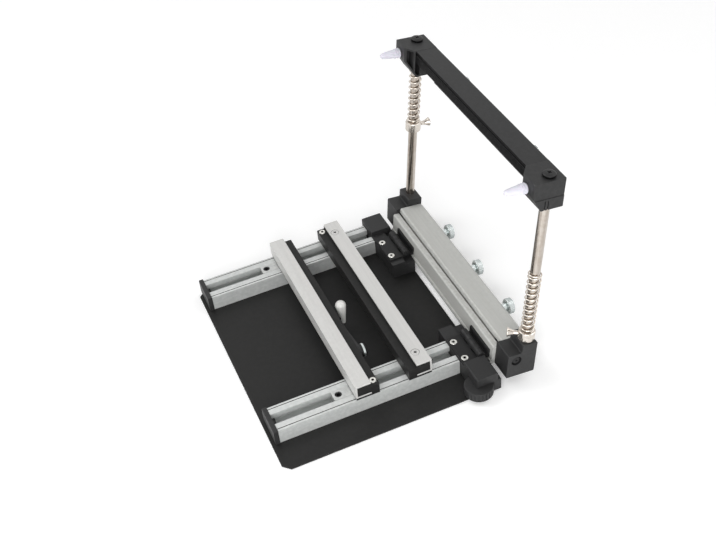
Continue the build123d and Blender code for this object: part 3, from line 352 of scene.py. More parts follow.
class Paint(Enum):
    """The finishes of this part, by what wears them."""

    PLATE = Coat("powder_coated_plate", (0.0124, 0.0123, 0.0121), (0.0131, 0.0130, 0.0127), (0.48, 0.51),
                 pebble=2200.0, bump=0.05, specular=0.2, wear_and_highlight=0.06, rubbed_and_highlit=(0.07, 0.07, 0.07), dust=0.002)
    BLACK_METAL = Coat("blackened_metal", (0.0105, 0.0105, 0.0107), (0.0140, 0.0140, 0.0143), (0.36, 0.46),
                       pebble=3500.0, bump=0.1, specular=0.22, wear_and_highlight=0.12, rubbed_and_highlit=(0.16, 0.16, 0.16), dust=0.002)
    BEAM = Coat("anodised_black_beam", (0.0200, 0.0200, 0.0202), (0.0207, 0.0207, 0.0210), (0.42, 0.44),
                pebble=3000.0, bump=0.03, specular=0.22, wear_and_highlight=0.06, rubbed_and_highlit=(0.15, 0.15, 0.155), dust=0.002)
    # Painted shade: a darker copy of the black finish, for beam faces that face front and down and for the lower sides
    # of the post screws.
    SHADED = Coat("satin_black_front", (0.0030, 0.0030, 0.0032), (0.0042, 0.0042, 0.0044), (0.4, 0.46),
                  pebble=3000.0, bump=0.04, specular=0.03, wear_and_highlight=0.06, rubbed_and_highlit=(0.08, 0.08, 0.082), dust=0.0)
    MOULDED = Coat("moulded_black_plastic", (0.0190, 0.0190, 0.0192), (0.0225, 0.0225, 0.0230), (0.46, 0.54),
                   pebble=1800.0, bump=0.14, specular=0.28, wear_and_highlight=0.08, rubbed_and_highlit=(0.09, 0.09, 0.09), dust=0.003)
    CORE = Coat("machined_black_core", (0.0120, 0.0119, 0.0117), (0.0150, 0.0148, 0.0144), (0.4, 0.5),
                pebble=3000.0, bump=0.1, specular=0.2, wear_and_highlight=0.1, rubbed_and_highlit=(0.12, 0.118, 0.115), dust=0.002)
    # Painted shade inside sockets, cross recesses, grooves and under domed screw heads.
    SOCKET = Coat("oiled_dark_socket", (0.006, 0.006, 0.006), (0.011, 0.011, 0.011), (0.5, 0.62),
                  pebble=3000.0, bump=0.1, specular=0.1, wear_and_highlight=0.0, dust=0.0)
    WHITE = Coat("white_grip_plastic", (0.70, 0.70, 0.675), (0.76, 0.76, 0.735), (0.32, 0.42),
                 pebble=1500.0, bump=0.06, wear_and_highlight=0.0, dust=0.0, glow=0.12)
    MILKY = Coat("milky_cone_plastic", (0.68, 0.67, 0.745), (0.75, 0.74, 0.81), (0.3, 0.42),
                 pebble=1500.0, bump=0.04, wear_and_highlight=0.0, dust=0.0, glow=0.35)
    RAIL = Metal("drawn_aluminium_rail", (0.525, 0.540, 0.530), (0.600, 0.615, 0.605), (0.40, 0.50), Run.ALONG_Y,
                 bump=0.1, metallic=0.35)
    CHANNEL = Metal("drawn_aluminium_channel", (0.580, 0.575, 0.560), (0.650, 0.645, 0.628), (0.42, 0.52),
                    Run.ALONG_X, bump=0.1, metallic=0.35)
    BAR = Metal("drawn_aluminium_bar", (0.440, 0.442, 0.420), (0.505, 0.507, 0.485), (0.52, 0.62), Run.ALONG_X,
                bump=0.1, metallic=0.1, lean=LEAN)
    SLIDER = Metal("ground_slider_steel", (0.46, 0.47, 0.46), (0.60, 0.61, 0.60), (0.3, 0.42), metallic=0.6)
    SCREW = Metal("bright_screw_steel", (0.66, 0.65, 0.61), (0.78, 0.77, 0.73), (0.2, 0.3), grain=2500.0, bump=0.05,
                  metallic=0.7)
    # The dark brown streaks along the posts are painted reflections of the dark parts round them, laid on the drawn
    # grain.
    NICKEL = Metal("nickel_plated_post", (0.30, 0.245, 0.20), (0.60, 0.555, 0.50), (0.14, 0.2), Run.ALONG_Z,
                   grain=420.0, bump=0.02, lean=LEAN)
    COLLAR = Metal("nickel_plated_collar", (0.52, 0.47, 0.42), (0.74, 0.69, 0.63), (0.14, 0.22), grain=500.0, bump=0.03,
                   metallic=0.9)
    SPRING = Metal("nickel_spring_wire", (0.54, 0.48, 0.42), (0.78, 0.73, 0.67), (0.16, 0.24), grain=900.0, bump=0.03,
                   metallic=0.9)
    ZINC = Metal("zinc_plated_screw", (0.52, 0.56, 0.555), (0.70, 0.74, 0.735), (0.2, 0.32), grain=900.0, bump=0.05,
                 metallic=0.85)


class FinishShelf:
    """Mixes each finish once and hands it out."""

    def __init__(self) -> None:
        """Builds the shader groups and an empty shelf."""
        self.effects = Effects()
        self.made: dict[Paint, bpy.types.Material] = {}

    def take(self, paint: Paint) -> bpy.types.Material:
        """Gives the material of a finish."""
        if paint not in self.made:
            self.made[paint] = paint.value.mix(self.effects)
        return self.made[paint]


# ---------------------------------------------------------------- bench


def clear_selection() -> None:
    """Deselects everything, in object mode."""
    if bpy.context.object and bpy.context.object.mode != "OBJECT":
        bpy.ops.object.mode_set(mode="OBJECT")
    bpy.ops.object.select_all(action="DESELECT")


def select_alone(item: bpy.types.Object) -> None:
    """Selects an object alone and makes it active, in object mode."""
    clear_selection()
    item.select_set(True)
    bpy.context.view_layer.objects.active = item


def apply_placing() -> None:
    """Applies the place, turn and size of what is selected to its mesh."""
    bpy.ops.object.transform_apply(location=True, rotation=True, scale=True)


class Workpiece:
    """A mesh on the bench, in millimetres, shaped with the operators of edit mode.

    What shapes or moves the piece gives it back, so that steps can follow on one line.
    """

    def __init__(self, made: bpy.types.Object, name: str) -> None:
        """Takes an object and names it and its mesh."""
        self.object = made
        made.name = name
        made.data.name = name

    @classmethod
    def fresh(cls, name: str) -> Workpiece:
        """Takes the object that an operator has just made, with its place and size applied."""
        apply_placing()
        return cls(bpy.context.object, name)

    @classmethod
    def block(cls, name: str, size: Sequence[float], centre: Sequence[float]) -> Workpiece:
        """Starts from a block, from its lengths along X, Y and Z and its middle."""
        clear_selection()
        bpy.ops.mesh.primitive_cube_add(size=1.0, location=tuple(centre), scale=tuple(size))
        return cls.fresh(name)

    @classmethod
    def lathe(cls, name: str, profile: Sequence[tuple[float, float]], sides: int = 48) -> Workpiece:
        """Turns a half profile about Z, point by point, as on a lathe.

        Args:
            name: Name of the piece.
            profile: Its corners as radius and height, from axis to axis or round to where it began.
            sides: Number of sides of the turned piece.

        Returns:
            The workpiece.
        """
        clear_selection()
        bpy.ops.mesh.primitive_plane_add(size=1.0)
        piece = cls(bpy.context.object, name)
        with piece.editing():
            bpy.ops.mesh.select_mode(type="VERT")
            bpy.ops.mesh.select_all(action="SELECT")
            bpy.ops.mesh.merge(type="CENTER")
            bpy.ops.transform.translate(value=(profile[0][0], 0, profile[0][1]))
            for before, after in zip(profile, profile[1:]):
                step = (after[0] - before[0], 0, after[1] - before[1])
                bpy.ops.mesh.extrude_vertices_move(TRANSFORM_OT_translate={"value": step})
            bpy.ops.mesh.select_all(action="SELECT")
            bpy.ops.mesh.spin(steps=sides, angle=math.tau, center=(0, 0, 0), axis=(0, 0, 1))
            bpy.ops.mesh.select_all(action="SELECT")
            bpy.ops.mesh.remove_doubles(threshold=SEAM)
            bpy.ops.mesh.normals_make_consistent(inside=False)
        return piece

    @classmethod
    def wire(cls, name: str, points: Sequence[Vector], radius: float, sides: int = 10) -> Workpiece:
        """Draws a round wire along points and makes it a mesh.

        Args:
            name: Name of the piece.
            points: Points of its middle line.
            radius: Its radius.
            sides: Number of its sides, an even number.

        Returns:
            The workpiece.
        """
        curve = bpy.data.curves.new(name, "CURVE")
        curve.dimensions = "3D"
        spline = curve.splines.new("POLY")
        spline.points.add(len(points) - 1)
        for point, place in zip(spline.points, points):
            point.co = (*place, 1.0)
        curve.bevel_depth = radius
        curve.bevel_resolution = sides // 2 - 2
        curve.use_fill_caps = True
        made = bpy.data.objects.new(name, curve)
        bpy.context.scene.collection.objects.link(made)
        select_alone(made)
        bpy.ops.object.convert(target="MESH")
        return cls(bpy.context.object, name)

    @classmethod
    def twin(cls, source: bpy.types.Object, name: str) -> Workpiece:
        """Copies an object with a mesh of its own."""
        made = bpy.data.objects.new(name, source.data.copy())
        bpy.context.scene.collection.objects.link(made)
        return cls(made, name)

    @classmethod
    def copy_of(cls, node: bpy.types.Object, name: str) -> Workpiece:
        """Starts from a merged copy of a CAD node, brought to millimetres.

        Args:
            node: The CAD node's object.
            name: Name of the piece.

        Returns:
            The workpiece.
        """
        piece = cls.twin(node, name)
        piece.object.data.materials.clear()
        piece.object.scale = (1 / MM,) * 3
        select_alone(piece.object)
        apply_placing()
        with piece.editing():
            bpy.ops.mesh.select_all(action="SELECT")
            bpy.ops.mesh.remove_doubles(threshold=NODE_SEAM)
            bpy.ops.mesh.dissolve_limited(angle_limit=FLAT)
        if piece.object.data.has_custom_normals:
            bpy.ops.mesh.customdata_custom_splitnormals_clear()
        return piece

    def copy(self, name: str) -> Workpiece:
        """Copies the piece with a mesh of its own."""
        return Workpiece.twin(self.object, name)

    def discard(self) -> None:
        """Throws a pattern piece away."""
        bpy.data.objects.remove(self.object)

    @contextmanager
    def editing(self) -> Iterator[None]:
        """Holds the piece in edit mode for the length of a with statement."""
        select_alone(self.object)
        bpy.ops.object.mode_set(mode="EDIT")
        try:
            yield
        finally:
            bpy.ops.object.mode_set(mode="OBJECT")

    def pick(self, test: Callable[..., bool], mode: str = "FACE") -> int:
        """Selects the faces or edges that pass a test, while in edit mode.

        Args:
            test: Says of a face or edge whether it is wanted.
            mode: FACE or EDGE.

        Returns:
            The number selected.
        """
        bpy.ops.mesh.select_mode(type=mode)
        bpy.ops.mesh.select_all(action="DESELECT")
        mesh = bmesh.from_edit_mesh(self.object.data)
        chosen = [item for item in (mesh.faces if mode == "FACE" else mesh.edges) if test(item)]
        for item in chosen:
            item.select_set(True)
        mesh.select_flush_mode()
        bmesh.update_edit_mesh(self.object.data)
        return len(chosen)

    def press_flutes(self, count: int, every: int, wide: int, factor: float, low: float, high: float) -> Workpiece:
        """Presses flutes or knurls into the side.

        Args:
            count: Number of flutes.
            every: Number of sides from one flute to the next.
            wide: Number of sides that a flute takes.
            factor: Radius of a flute's floor as a share of the side's.
            low: Lowest middle of the side faces that take them.
            high: Highest middle of those faces.

        Returns:
            The workpiece.
        """
        pitch = math.tau / (count * every)

        def in_flute(face: bmesh.types.BMFace) -> bool:
            """Says whether a side face belongs to a flute."""
            centre = face.calc_center_median()
            if abs(face.normal.z) > 0.3 or not low < centre.z < high or face.normal.xy.dot(centre.xy) < 0:
                return False
            return int((math.atan2(centre.y, centre.x) % math.tau) / pitch) % every < wide

        with self.editing():
            self.pick(in_flute)
            bpy.ops.mesh.extrude_region_move(TRANSFORM_OT_translate={"value": (0, 0, 0)})
            bpy.ops.transform.resize(value=(factor, factor, 1.0), center_override=(0, 0, 0))
        return self

    def ease(self, width: float, segments: int = 2, least_length: float = 0.0, least_angle: float = 40.0) -> Workpiece:
        """Rounds the sharp edges.

        Args:
            width: Width of the rounding.
            segments: Number of faces across it.
            least_length: Shortest edge that is rounded.
            least_angle: Smallest angle in degrees that is rounded.

        Returns:
            The workpiece.
        """
        def sharp(edge: bmesh.types.BMEdge) -> bool:
            """Says whether an edge is long and sharp enough."""
            whole = len(edge.link_faces) == 2 and edge.calc_length() >= least_length
            return whole and edge.calc_face_angle(0.0) > math.radians(least_angle)

        with self.editing():
            if self.pick(sharp, "EDGE"):
                bpy.ops.mesh.bevel(offset=width, segments=segments, affect="EDGES", clamp_overlap=True)
        return self

    def modify(self, kind: str, **settings: object) -> Workpiece:
        """Adds a modifier of a type with its settings and applies it."""
        select_alone(self.object)
        modifier = self.object.modifiers.new(kind.lower(), kind)
        for name, value in settings.items():
            setattr(modifier, name, value)
        bpy.ops.object.modifier_apply(modifier=modifier.name)
        return self

    def cut(self, tool: Workpiece) -> Workpiece:
        """Cuts another workpiece out of this one and throws it away."""
        self.modify("BOOLEAN", object=tool.object, operation="DIFFERENCE", solver="EXACT")
        tool.discard()
        return self

    def cut_socket(self, radius: float, depth: float, top: float) -> Workpiece:
        """Cuts a hexagon socket into the top and marks its walls for painted shade.

        Args:
            radius: Radius of its corners.
            depth: Its depth.
            top: Height of the face that it is cut into.

        Returns:
            The workpiece.
        """
        clear_selection()
        bpy.ops.mesh.primitive_cylinder_add(vertices=6, radius=radius, depth=depth + 1.0,
                                            location=(0, 0, top - depth + (depth + 1.0) / 2))
        self.cut(Workpiece.fresh("socket_cutter"))
        return self.darken(radius * 1.02, top - depth - 0.01, top - 0.02)

    def cut_cross(self, reach: float, width: float, depth: float, top: float) -> Workpiece:
        """Cuts a tapered cross recess into the top and marks its walls for painted shade.

        Args:
            reach: Length of an arm from the middle.
            width: Width of an arm.
            depth: Its depth.
            top: Height of the face that it is cut into.

        Returns:
            The workpiece.
        """
        for turn in (0.0, math.pi / 2):
            blade = Workpiece.block("cross_cutter", (2 * reach, width, 2 * depth), (0, 0, top))
            with blade.editing():
                blade.pick(lambda f: f.normal.z < -0.9)
                bpy.ops.transform.resize(value=(0.35, 0.6, 1.0), center_override=(0, 0, 0))
            self.cut(blade.put(Matrix.Rotation(turn, 4, "Z")))
        return self.darken(reach, top - depth - 0.01, top - 0.06)

    def darken(self, radius: float, low: float, high: float) -> Workpiece:
        """Marks the faces inside a recess about Z for the second finish, which paints shade there, by its radius and
        two heights.
        """
        return self.mark(lambda p: p.center.xy.length < radius and low < p.center.z < high)

    def mark(self, test: Callable[[bpy.types.MeshPolygon], bool]) -> Workpiece:
        """Marks the faces that pass a test for the second finish."""
        for polygon in self.object.data.polygons:
            if test(polygon):
                polygon.material_index = 1
        return self

    def put(self, placing: Matrix) -> Workpiece:
        """Moves the mesh to a placing, still in millimetres."""
        self.object.matrix_world = placing
        select_alone(self.object)
        apply_placing()
        return self

    def settle(self, materials: Iterable[bpy.types.Material], smooth: float = SMOOTH) -> bpy.types.Object:
        """Brings the piece to metres, smooths it and gives it its finish.

        Args:
            materials: The finish, and the one of its marked faces if it has any.
            smooth: Angle in degrees up to which faces are shaded as one.

        Returns:
            The object.
        """
        self.put(Matrix.Diagonal((MM, MM, MM, 1.0)))
        with self.editing():
            bpy.ops.mesh.select_all(action="SELECT")
            bpy.ops.mesh.normals_make_consistent(inside=False)
        bpy.ops.object.shade_smooth_by_angle(angle=math.radians(smooth))
        self.modify("WEIGHTED_NORMAL", keep_sharp=True, weight=FACE_WEIGHT)
        for material in materials:
            self.object.data.materials.append(material)
        return self.object


# ---------------------------------------------------------------- sub-assemblies


@dataclass
class SubAssembly:
    """What every group of pieces shares: the finishes and the record's slots."""

    shelf: FinishShelf
    nodes: dict[str, bpy.types.Object]
    slots: dict[str, str]
    bodies: dict[str, str]

    def fit(self, piece: Workpiece, paint: Paint, node: str, slot: str | None = None, smooth: float = SMOOTH,
            second: Paint = Paint.SOCKET) -> bpy.types.Object:
        """Settles a piece and ties it to the frame.

        Args:
            piece: The workpiece.
            paint: Its finish.
            node: The CAD node that it stands for, on whose body it rides.
            slot: Not used.
            smooth: Angle in degrees up to which faces are shaded as one.
            second: Finish of its marked faces.

        Returns:
            The object.
        """
        recessed = any(polygon.material_index for polygon in piece.object.data.polygons)
        paints = (paint, second) if recessed else (paint,)
        made = piece.settle([self.shelf.take(each) for each in paints], smooth)
        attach(made, self.bodies[node])
        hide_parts(node)
        log.info("%s rides on %s: %d faces", made.name, self.bodies[node], len(made.data.polygons))
        return made

    def stand(self, pattern: Workpiece, name: str, placing: Matrix, paint: Paint, node: str, **more: object) -> None:
        """Copies a pattern to its place and ties the copy to the frame.

        Args:
            pattern: The pattern piece.
            name: Name of the copy.
            placing: Its place, in millimetres.
            paint: Its finish.
            node: The CAD node that it stands for.
            **more: What else fit takes.
        """
        self.fit(pattern.copy(name).put(placing), paint, node, **more)

    def eased(self, node: str, paint: Paint, width: float, least_length: float = 3.0) -> None:
        """Makes a copy of a CAD node with its long edges rounded, in place of it.

        Args:
            node: The CAD node.
            paint: Its finish.
            width: Width of the rounding in millimetres.
            least_length: Shortest edge that is rounded.
        """
        piece = Workpiece.copy_of(self.nodes[node], f"eased_{node}").ease(width, 2, least_length, 50.0)
        self.fit(piece, paint, node)


class Fastener:
    """Screw patterns that stand on the Z axis, with the face that they sit on at height 0 and the head above it.

    Each takes its pattern's name, the radius of its shank and its length below the face. Those with a raised head
    also take the head's radius and height.
    """

    @staticmethod
    def countersunk_hex(name: str, radius: float, length: float) -> Workpiece:
        """Makes a countersunk screw with a hexagon socket, its head flush."""
        head = 2 * radius
        screw = Workpiece.lathe(name, (
            (0, -length), (radius - 0.3, -length), (radius, -length + 0.3), (radius, -radius), (head - 0.15, -0.15),
            (head, 0.02), (head - 0.1, 0.16), (head - 0.45, 0.28), (0.6 * head, 0.34), (0, 0.34),
        ), 40)
        return screw.cut_socket(0.86 * radius, 0.8 * radius, 0.34)

    @staticmethod
    def countersunk_cross(name: str, radius: float, length: float) -> Workpiece:
        """Makes a countersunk screw with a cross recess, its head flush."""
        head = 2 * radius
        screw = Workpiece.lathe(name, (
            (0, -length), (radius - 0.3, -length), (radius, -length + 0.3), (radius, -radius), (head - 0.1, -0.12),
            (head - 0.05, 0.0), (head - 0.3, 0.1), (head - 0.55, 0.02), (0.5 * head, 0.16), (0, 0.16),
        ), 40)
        # The groove round the head is marked for painted shade.
        screw.mark(lambda face: head - 0.6 < face.center.xy.length < head - 0.35 and face.center.z > 0.0)
        return screw.cut_cross(1.15 * radius, 0.5 * radius, 0.9 * radius, 0.16)

    @staticmethod
    def domed_cross(name: str, head: float, height: float, radius: float, length: float) -> Workpiece:
        """Makes a low domed screw with a cross recess, whose head overhangs the shank; the side below the head's middle
        is marked for painted shade.
        """
        screw = Workpiece.lathe(name, (
            (0, -length), (radius, -length), (radius, 0.02), (head - 1.1, 0.02), (head - 0.35, 0.3),
            (head, 0.38 * height), (head - 0.12, 0.6 * height), (head - 0.6, 0.82 * height),
            (head - 1.5, 0.94 * height), (0.45 * head, height), (0, height),
        ), 48)
        # The lower side of the head is marked for painted shade.
        screw.mark(lambda face: face.center.z < 0.5 * height)
        return screw.cut_cross(0.48 * head, 0.2 * head, 0.55 * height, height)

    @staticmethod
    def ring_head(name: str, head: float, height: float, radius: float, length: float) -> Workpiece:
        """Makes a screw with a raised ring round a deep hexagon socket."""
        screw = Workpiece.lathe(name, (
            (0, -length), (radius, -length), (radius, 0.02), (head - 0.2, 0.02), (head, 0.2), (head, height - 0.4),
            (head - 0.15, height - 0.12), (head - 0.45, height), (0.66 * head, height), (0.58 * head, height - 0.16),
            (0, height - 0.16),
        ), 40)
        return screw.cut_socket(0.44 * head, 0.75 * height, height - 0.16)

    @staticmethod
    def set_screw(name: str, radius: float, length: float) -> Workpiece:
        """Makes a headless screw with a hexagon socket."""
        screw = Workpiece.lathe(name, (
            (0, -length), (radius - 0.5, -length), (radius, -length + 0.5), (radius, -0.45), (radius - 0.45, 0), (0, 0),
        ), 40)
        return screw.cut_socket(0.58 * radius, 2.4, 0.0)


@dataclass
class Base(SubAssembly):
    """Base plate, rails, caps and hinge blocks."""

    edge: float = 0.3
    rail_edge: float = 0.15
    rail_top: float = 15.75
    groove_reach: float = 11.1
    groove_half: float = 0.35
    groove_floor: float = 15.0
    block_edge: float = 0.7
    leaf_screw_place: tuple[float, float] = (-12.6, 18.5)
    leaf_screw_radius: float = 1.5
    leaf_screw_length: float = 8.0

    def build(self) -> None:
        """Builds the pieces that stay on the bench."""
        self.eased("base_plate", Paint.PLATE, self.edge)
        for side, _ in SIDES:
            self.rail(side)
            self.eased(f"{side}_rail_cap", Paint.MOULDED, 0.5, least_length=1.5)
            self.eased(f"{side}_hinge_block", Paint.MOULDED, self.block_edge, least_length=3.0)
            self.eased(f"{side}_fixed_leaf", Paint.BLACK_METAL, 0.3, least_length=2.5)
        self.leaf_screws()

    def rail(self, side: str) -> None:
        """Makes a rail whose thin grooves are painted dark inside as shade."""
        piece = Workpiece.copy_of(self.nodes[f"{side}_rail"], f"eased_{side}_rail")
        # The groove faces are marked for painted shade.
        piece.mark(lambda face: self.groove_floor < face.center.z < self.rail_top
                   and abs(abs(face.center.x - RAIL_MIDDLES[side]) - self.groove_reach) < self.groove_half)
        piece.ease(self.rail_edge, 2, 20.0, 50.0)
        self.fit(piece, Paint.RAIL, f"{side}_rail")

    def leaf_screws(self) -> None:
        """Sets the four bright socket screws of the fixed leaves."""
        pattern = Fastener.countersunk_hex("leaf_screw_pattern", self.leaf_screw_radius, self.leaf_screw_length)
        for number, x in enumerate(LEAF_SCREWS, 1):
            self.stand(pattern, f"leaf_socket_screw_{number}", aim(Vector((x, *self.leaf_screw_place)), SKY),
                       Paint.SCREW, "fixed_leaf_screws")
        pattern.discard()


@dataclass
class Knob(SubAssembly):
    """The round height knob under the right hinge block."""

    x: float = 112.7
    y: float = -13.3
    radius: float = 12.17
    height: float = 9.0
    foot: float = 1.7
    foot_radius: float = 4.0
    foot_height: float = 1.0
    shaft_radius: float = 2.0
    shaft_height: float = 5.0
    flutes: int = 24
    flute_pitch: int = 6
    flute_width: int = 2
    flute_floor: float = 0.955

    def build(self) -> None:
        """Builds the knob about its axis."""
        low, high, rim = self.foot_height, self.foot_height + self.height, self.radius
        piece = Workpiece.lathe("fluted_height_knob", (
            (0, 0), (self.foot_radius, 0), (self.foot_radius, low), (rim - 1.2, low), (rim - 0.4, low + 0.35),
            (rim, low + 1.1), (rim, high - 1.1), (rim - 0.35, high - 0.4), (rim - 1.1, high), (self.shaft_radius, high),
            (self.shaft_radius, high + self.shaft_height), (0, high + self.shaft_height),
        ), self.flutes * self.flute_pitch)
        piece.press_flutes(self.flutes, self.flute_pitch, self.flute_width, self.flute_floor, low + 0.5, high - 0.5)
        piece.put(Matrix.Translation((self.x, self.y, self.foot)))
        self.fit(piece, Paint.MOULDED, "height_knob")


@dataclass
class ClampBar(SubAssembly):
    """The clamp bar on the hinges, with its jaw, end blocks, posts and the screws in them."""

    leaf_screw_across: float = 5.6
    leaf_screw_up: float = 1.3
    end_screw_x: float = 113.6
    end_screw_across: float = 18.3
    end_screw_up: float = 8.4
    post_screw_up: float = 181.65
    post_screw_turn: float = math.radians(35.0)

    def build(self) -> None:
        """Builds the bar and what stands on it."""
        self.eased("clamp_bar", Paint.BAR, 0.35, least_length=8.0)
        self.eased("bar_jaw", Paint.BAR, 0.2, least_length=4.0)
        for side, _ in SIDES:
            self.eased(f"{side}_moving_leaf", Paint.BLACK_METAL, 0.3, least_length=2.5)
            self.eased(f"{side}_end_block", Paint.MOULDED, 0.6, least_length=2.0)
        self.screws()

    def screws(self) -> None:
        """Sets the screws of the moving leaves, the end blocks and the posts."""
        leaf = Fastener.countersunk_cross("moving_leaf_screw_pattern", radius=1.25, length=5.1)
        for number, x in enumerate(LEAF_SCREWS, 1):
            placing = aim(leaning(self.leaf_screw_across, self.leaf_screw_up, x), -REAR)
            self.stand(leaf, f"moving_leaf_cross_screw_{number}", placing, Paint.BLACK_METAL, "moving_leaf_screws")
        block = Fastener.domed_cross("end_block_screw_pattern", head=4.2, height=2.6, radius=2.0, length=26.0)
        post = Fastener.domed_cross("post_screw_pattern", head=5.3, height=2.8, radius=2.5, length=36.0)
        for side, sign in SIDES:
            place = leaning(self.end_screw_across, self.end_screw_up, sign * self.end_screw_x)
            placing = aim(place, ACROSS * sign, UP)
            self.stand(block, f"{side}_end_block_cross_screw", placing, Paint.BLACK_METAL, "end_block_screws")
            placing = aim(leaning(POST_ACROSS, self.post_screw_up, sign * POST_X), UP)
            placing = placing @ Matrix.Rotation(self.post_screw_turn, 4, "Z")
            # The post screws take the darker beam finish as painted shade on their lower sides.
            self.stand(post, f"{side}_post_cross_screw", placing, Paint.BEAM, "post_screws", second=Paint.SHADED)
        for pattern in (leaf, block, post):
            pattern.discard()


@dataclass
class Beam(SubAssembly):
    """The beam on the posts, with its jaw, its moulded ends and their cones."""

    outer: float = 116.8
    front: float = 13.8
    rear: float = 39.6
    bottom: float = 157.0
    step_up: float = 166.8
    step_depth: float = 0.35
    step_cutter: tuple[float, float, float] = (6.0, 40.0, 20.0)
    slits: tuple[float, float] = (24.2, 26.8)
    slit_rise: float = 3.2
    slit_cutter: tuple[float, float, float] = (2.4, 0.8, 10.0)
    cone_up: float = 172.2
    cone_x: tuple[float, float] = (-110.2, 105.0)
    cone_length: float = 17.7
    cone_base: float = 3.9
    cone_fall: tuple[float, float] = (0.1, 1.8)
    cone_rings: tuple[float, float, float] = (0.9, 2.7, 4.5)
    cone_ring: float = 0.45
    cone_tip: float = 1.5
    cone_ringed: float = 6.0
    cone_rounding: tuple[float, ...] = (25.0, 45.0, 65.0, 80.0, 90.0)
    cone_peg: tuple[float, float] = (2.0, 4.0)

    def build(self) -> None:
        """Builds the beam."""
        beam = Workpiece.copy_of(self.nodes["cross_beam"], "eased_cross_beam").ease(0.35, 2, 8.0, 50.0)
        # The beam's front and underside faces take the painted shade.
        beam.mark(lambda face: face.normal.dot(REAR) < -0.9 or face.normal.dot(UP) < -0.9)
        self.fit(beam, Paint.BEAM, "cross_beam", second=Paint.SHADED)
        self.eased("beam_jaw", Paint.BEAM, 0.2, least_length=4.0)
        for side, sign in SIDES:
            self.beam_end(side, sign)
        self.cones()

    def beam_end(self, side: str, sign: int) -> None:
        """Makes a moulded end with its stepped outer face and slits; sign is -1 for left and 1 for right."""
        piece = Workpiece.copy_of(self.nodes[f"{side}_beam_end"], f"stepped_{side}_beam_end")
        reach, _, tall = self.step_cutter
        face = sign * (self.outer - self.step_depth + reach / 2)
        centre = (face, (self.front + self.rear) / 2, self.step_up + tall / 2)
        piece.cut(self.framed_block(centre, self.step_cutter))
        for across in self.slits:
            centre = (sign * self.outer, across, self.bottom + self.slit_rise)
            piece.cut(self.framed_block(centre, self.slit_cutter))
        piece.ease(0.4, 2, 2.0, 50.0)
        self.fit(piece, Paint.MOULDED, f"{side}_beam_end")

    def framed_block(self, centre: Sequence[float], size: Sequence[float]) -> Workpiece:
        """Makes a cutting block in the open frame, from its middle and lengths right, across and up."""
        placing = Matrix((ACROSS, REAR, UP)).transposed().to_4x4()
        return Workpiece.block("end_cutter", size, centre).put(Matrix.Translation(HINGE) @ placing)

    def cones(self) -> None:
        """Turns the two milky cones with their rings."""
        peg, depth = self.cone_peg
        profile = [(0.0, -depth), (peg, -depth), (peg, 0.0)]
        heights = [0.0] + [ring + off for ring in self.cone_rings for off in (-0.45, -0.25, 0.25, 0.45)]
        rise = (self.cone_length - self.cone_tip - self.cone_ringed) / 6
        heights += [self.cone_ringed + rise * number for number in range(7)]
        for height in heights:
            share = height / self.cone_length
            radius = self.cone_base - self.cone_fall[0] * share - self.cone_fall[1] * share * share
            on_ring = any(abs(height - ring) < 0.3 for ring in self.cone_rings)
            profile.append((radius + (self.cone_ring if on_ring else 0.0), height))
        tip = profile[-1][0] - 0.35
        for turn in map(math.radians, self.cone_rounding):
            height = self.cone_length - self.cone_tip * (1 - math.sin(turn))
            profile.append((tip - self.cone_tip * (1 - math.cos(turn)) * 0.9, height))
        profile.append((0.0, self.cone_length))
        pattern = Workpiece.lathe("cone_pattern", profile, 48)
        for side, x in zip(("left", "right"), self.cone_x):
            self.stand(pattern, f"ringed_{side}_cone", aim(leaning(self.front, self.cone_up, x), -REAR),
                       Paint.MILKY, f"{side}_cone", smooth=50.0)
        pattern.discard()


@dataclass
class ThumbScrews(SubAssembly):
    """Knurled disc screws behind the bar and the beam, dished where they face it."""

    head: float = 6.9
    head_height: float = 5.3
    neck_radius: float = 3.4
    shank_radius: float = 2.0
    dish: float = 4.6
    dish_depth: float = 1.0
    knurls: int = 28
    gap: float = 0.1
    spread: float = 56.0

    def build(self) -> None:
        """Builds the five thumb screws."""
        for place, neck, shank, rear, up, sides in (
            ("bar", 4.7, 20.4, 37.6, 9.0, {"left": -1, "middle": 0, "right": 1}),
            ("beam", 7.5, 8.7, 39.6, 161.7, {"left": -1, "right": 1}),
        ):
            pattern = self.pattern(f"{place}_thumb_pattern", neck, shank)
            for side, sign in sides.items():
                node = f"{place}_thumb_screw_{side}"
                placing = aim(leaning(rear + self.gap, up, sign * self.spread), REAR)
                self.stand(pattern, f"knurled_{node}", placing, Paint.ZINC, node)
            pattern.discard()

    def pattern(self, name: str, neck: float, shank: float) -> Workpiece:
        """Turns a thumb screw and knurls its rim, from the lengths of its neck and shank."""
        back, rim = neck + self.head_height, self.head
        piece = Workpiece.lathe(name, (
            (0, -shank), (self.shank_radius, -shank), (self.shank_radius, 0), (self.neck_radius, 0),
            (self.neck_radius, neck + self.dish_depth), (self.dish - 0.3, neck + self.dish_depth),
            (self.dish, neck + self.dish_depth - 0.3), (self.dish + 0.2, neck), (rim - 0.7, neck), (rim, neck + 0.6),
            (rim, back - 0.6), (rim - 0.7, back), (self.dish, back), (self.dish - 0.4, back - 0.4), (0, back - 0.4),
        ), self.knurls * 4)
        return piece.press_flutes(self.knurls, 4, 2, 0.95, neck + 1.0, back - 1.0)


class Side(Enum):
    """What differs between the two posts."""

    LEFT = ("left", -POST_X, 92.6, 90.0, 11, 55.0)
    RIGHT = ("right", POST_X, 23.6, -120.0, 12, 59.0)

    def __init__(self, label: str, x: float, collar_up: float, thumb_angle: float, turns: int, length: float) -> None:
        """Names the values of a side: its collar's place, its thumb screw's angle and its spring's turns."""
        self.label, self.x, self.collar_up = label, x, collar_up
        self.thumb_angle, self.turns, self.length = math.radians(thumb_angle), turns, length


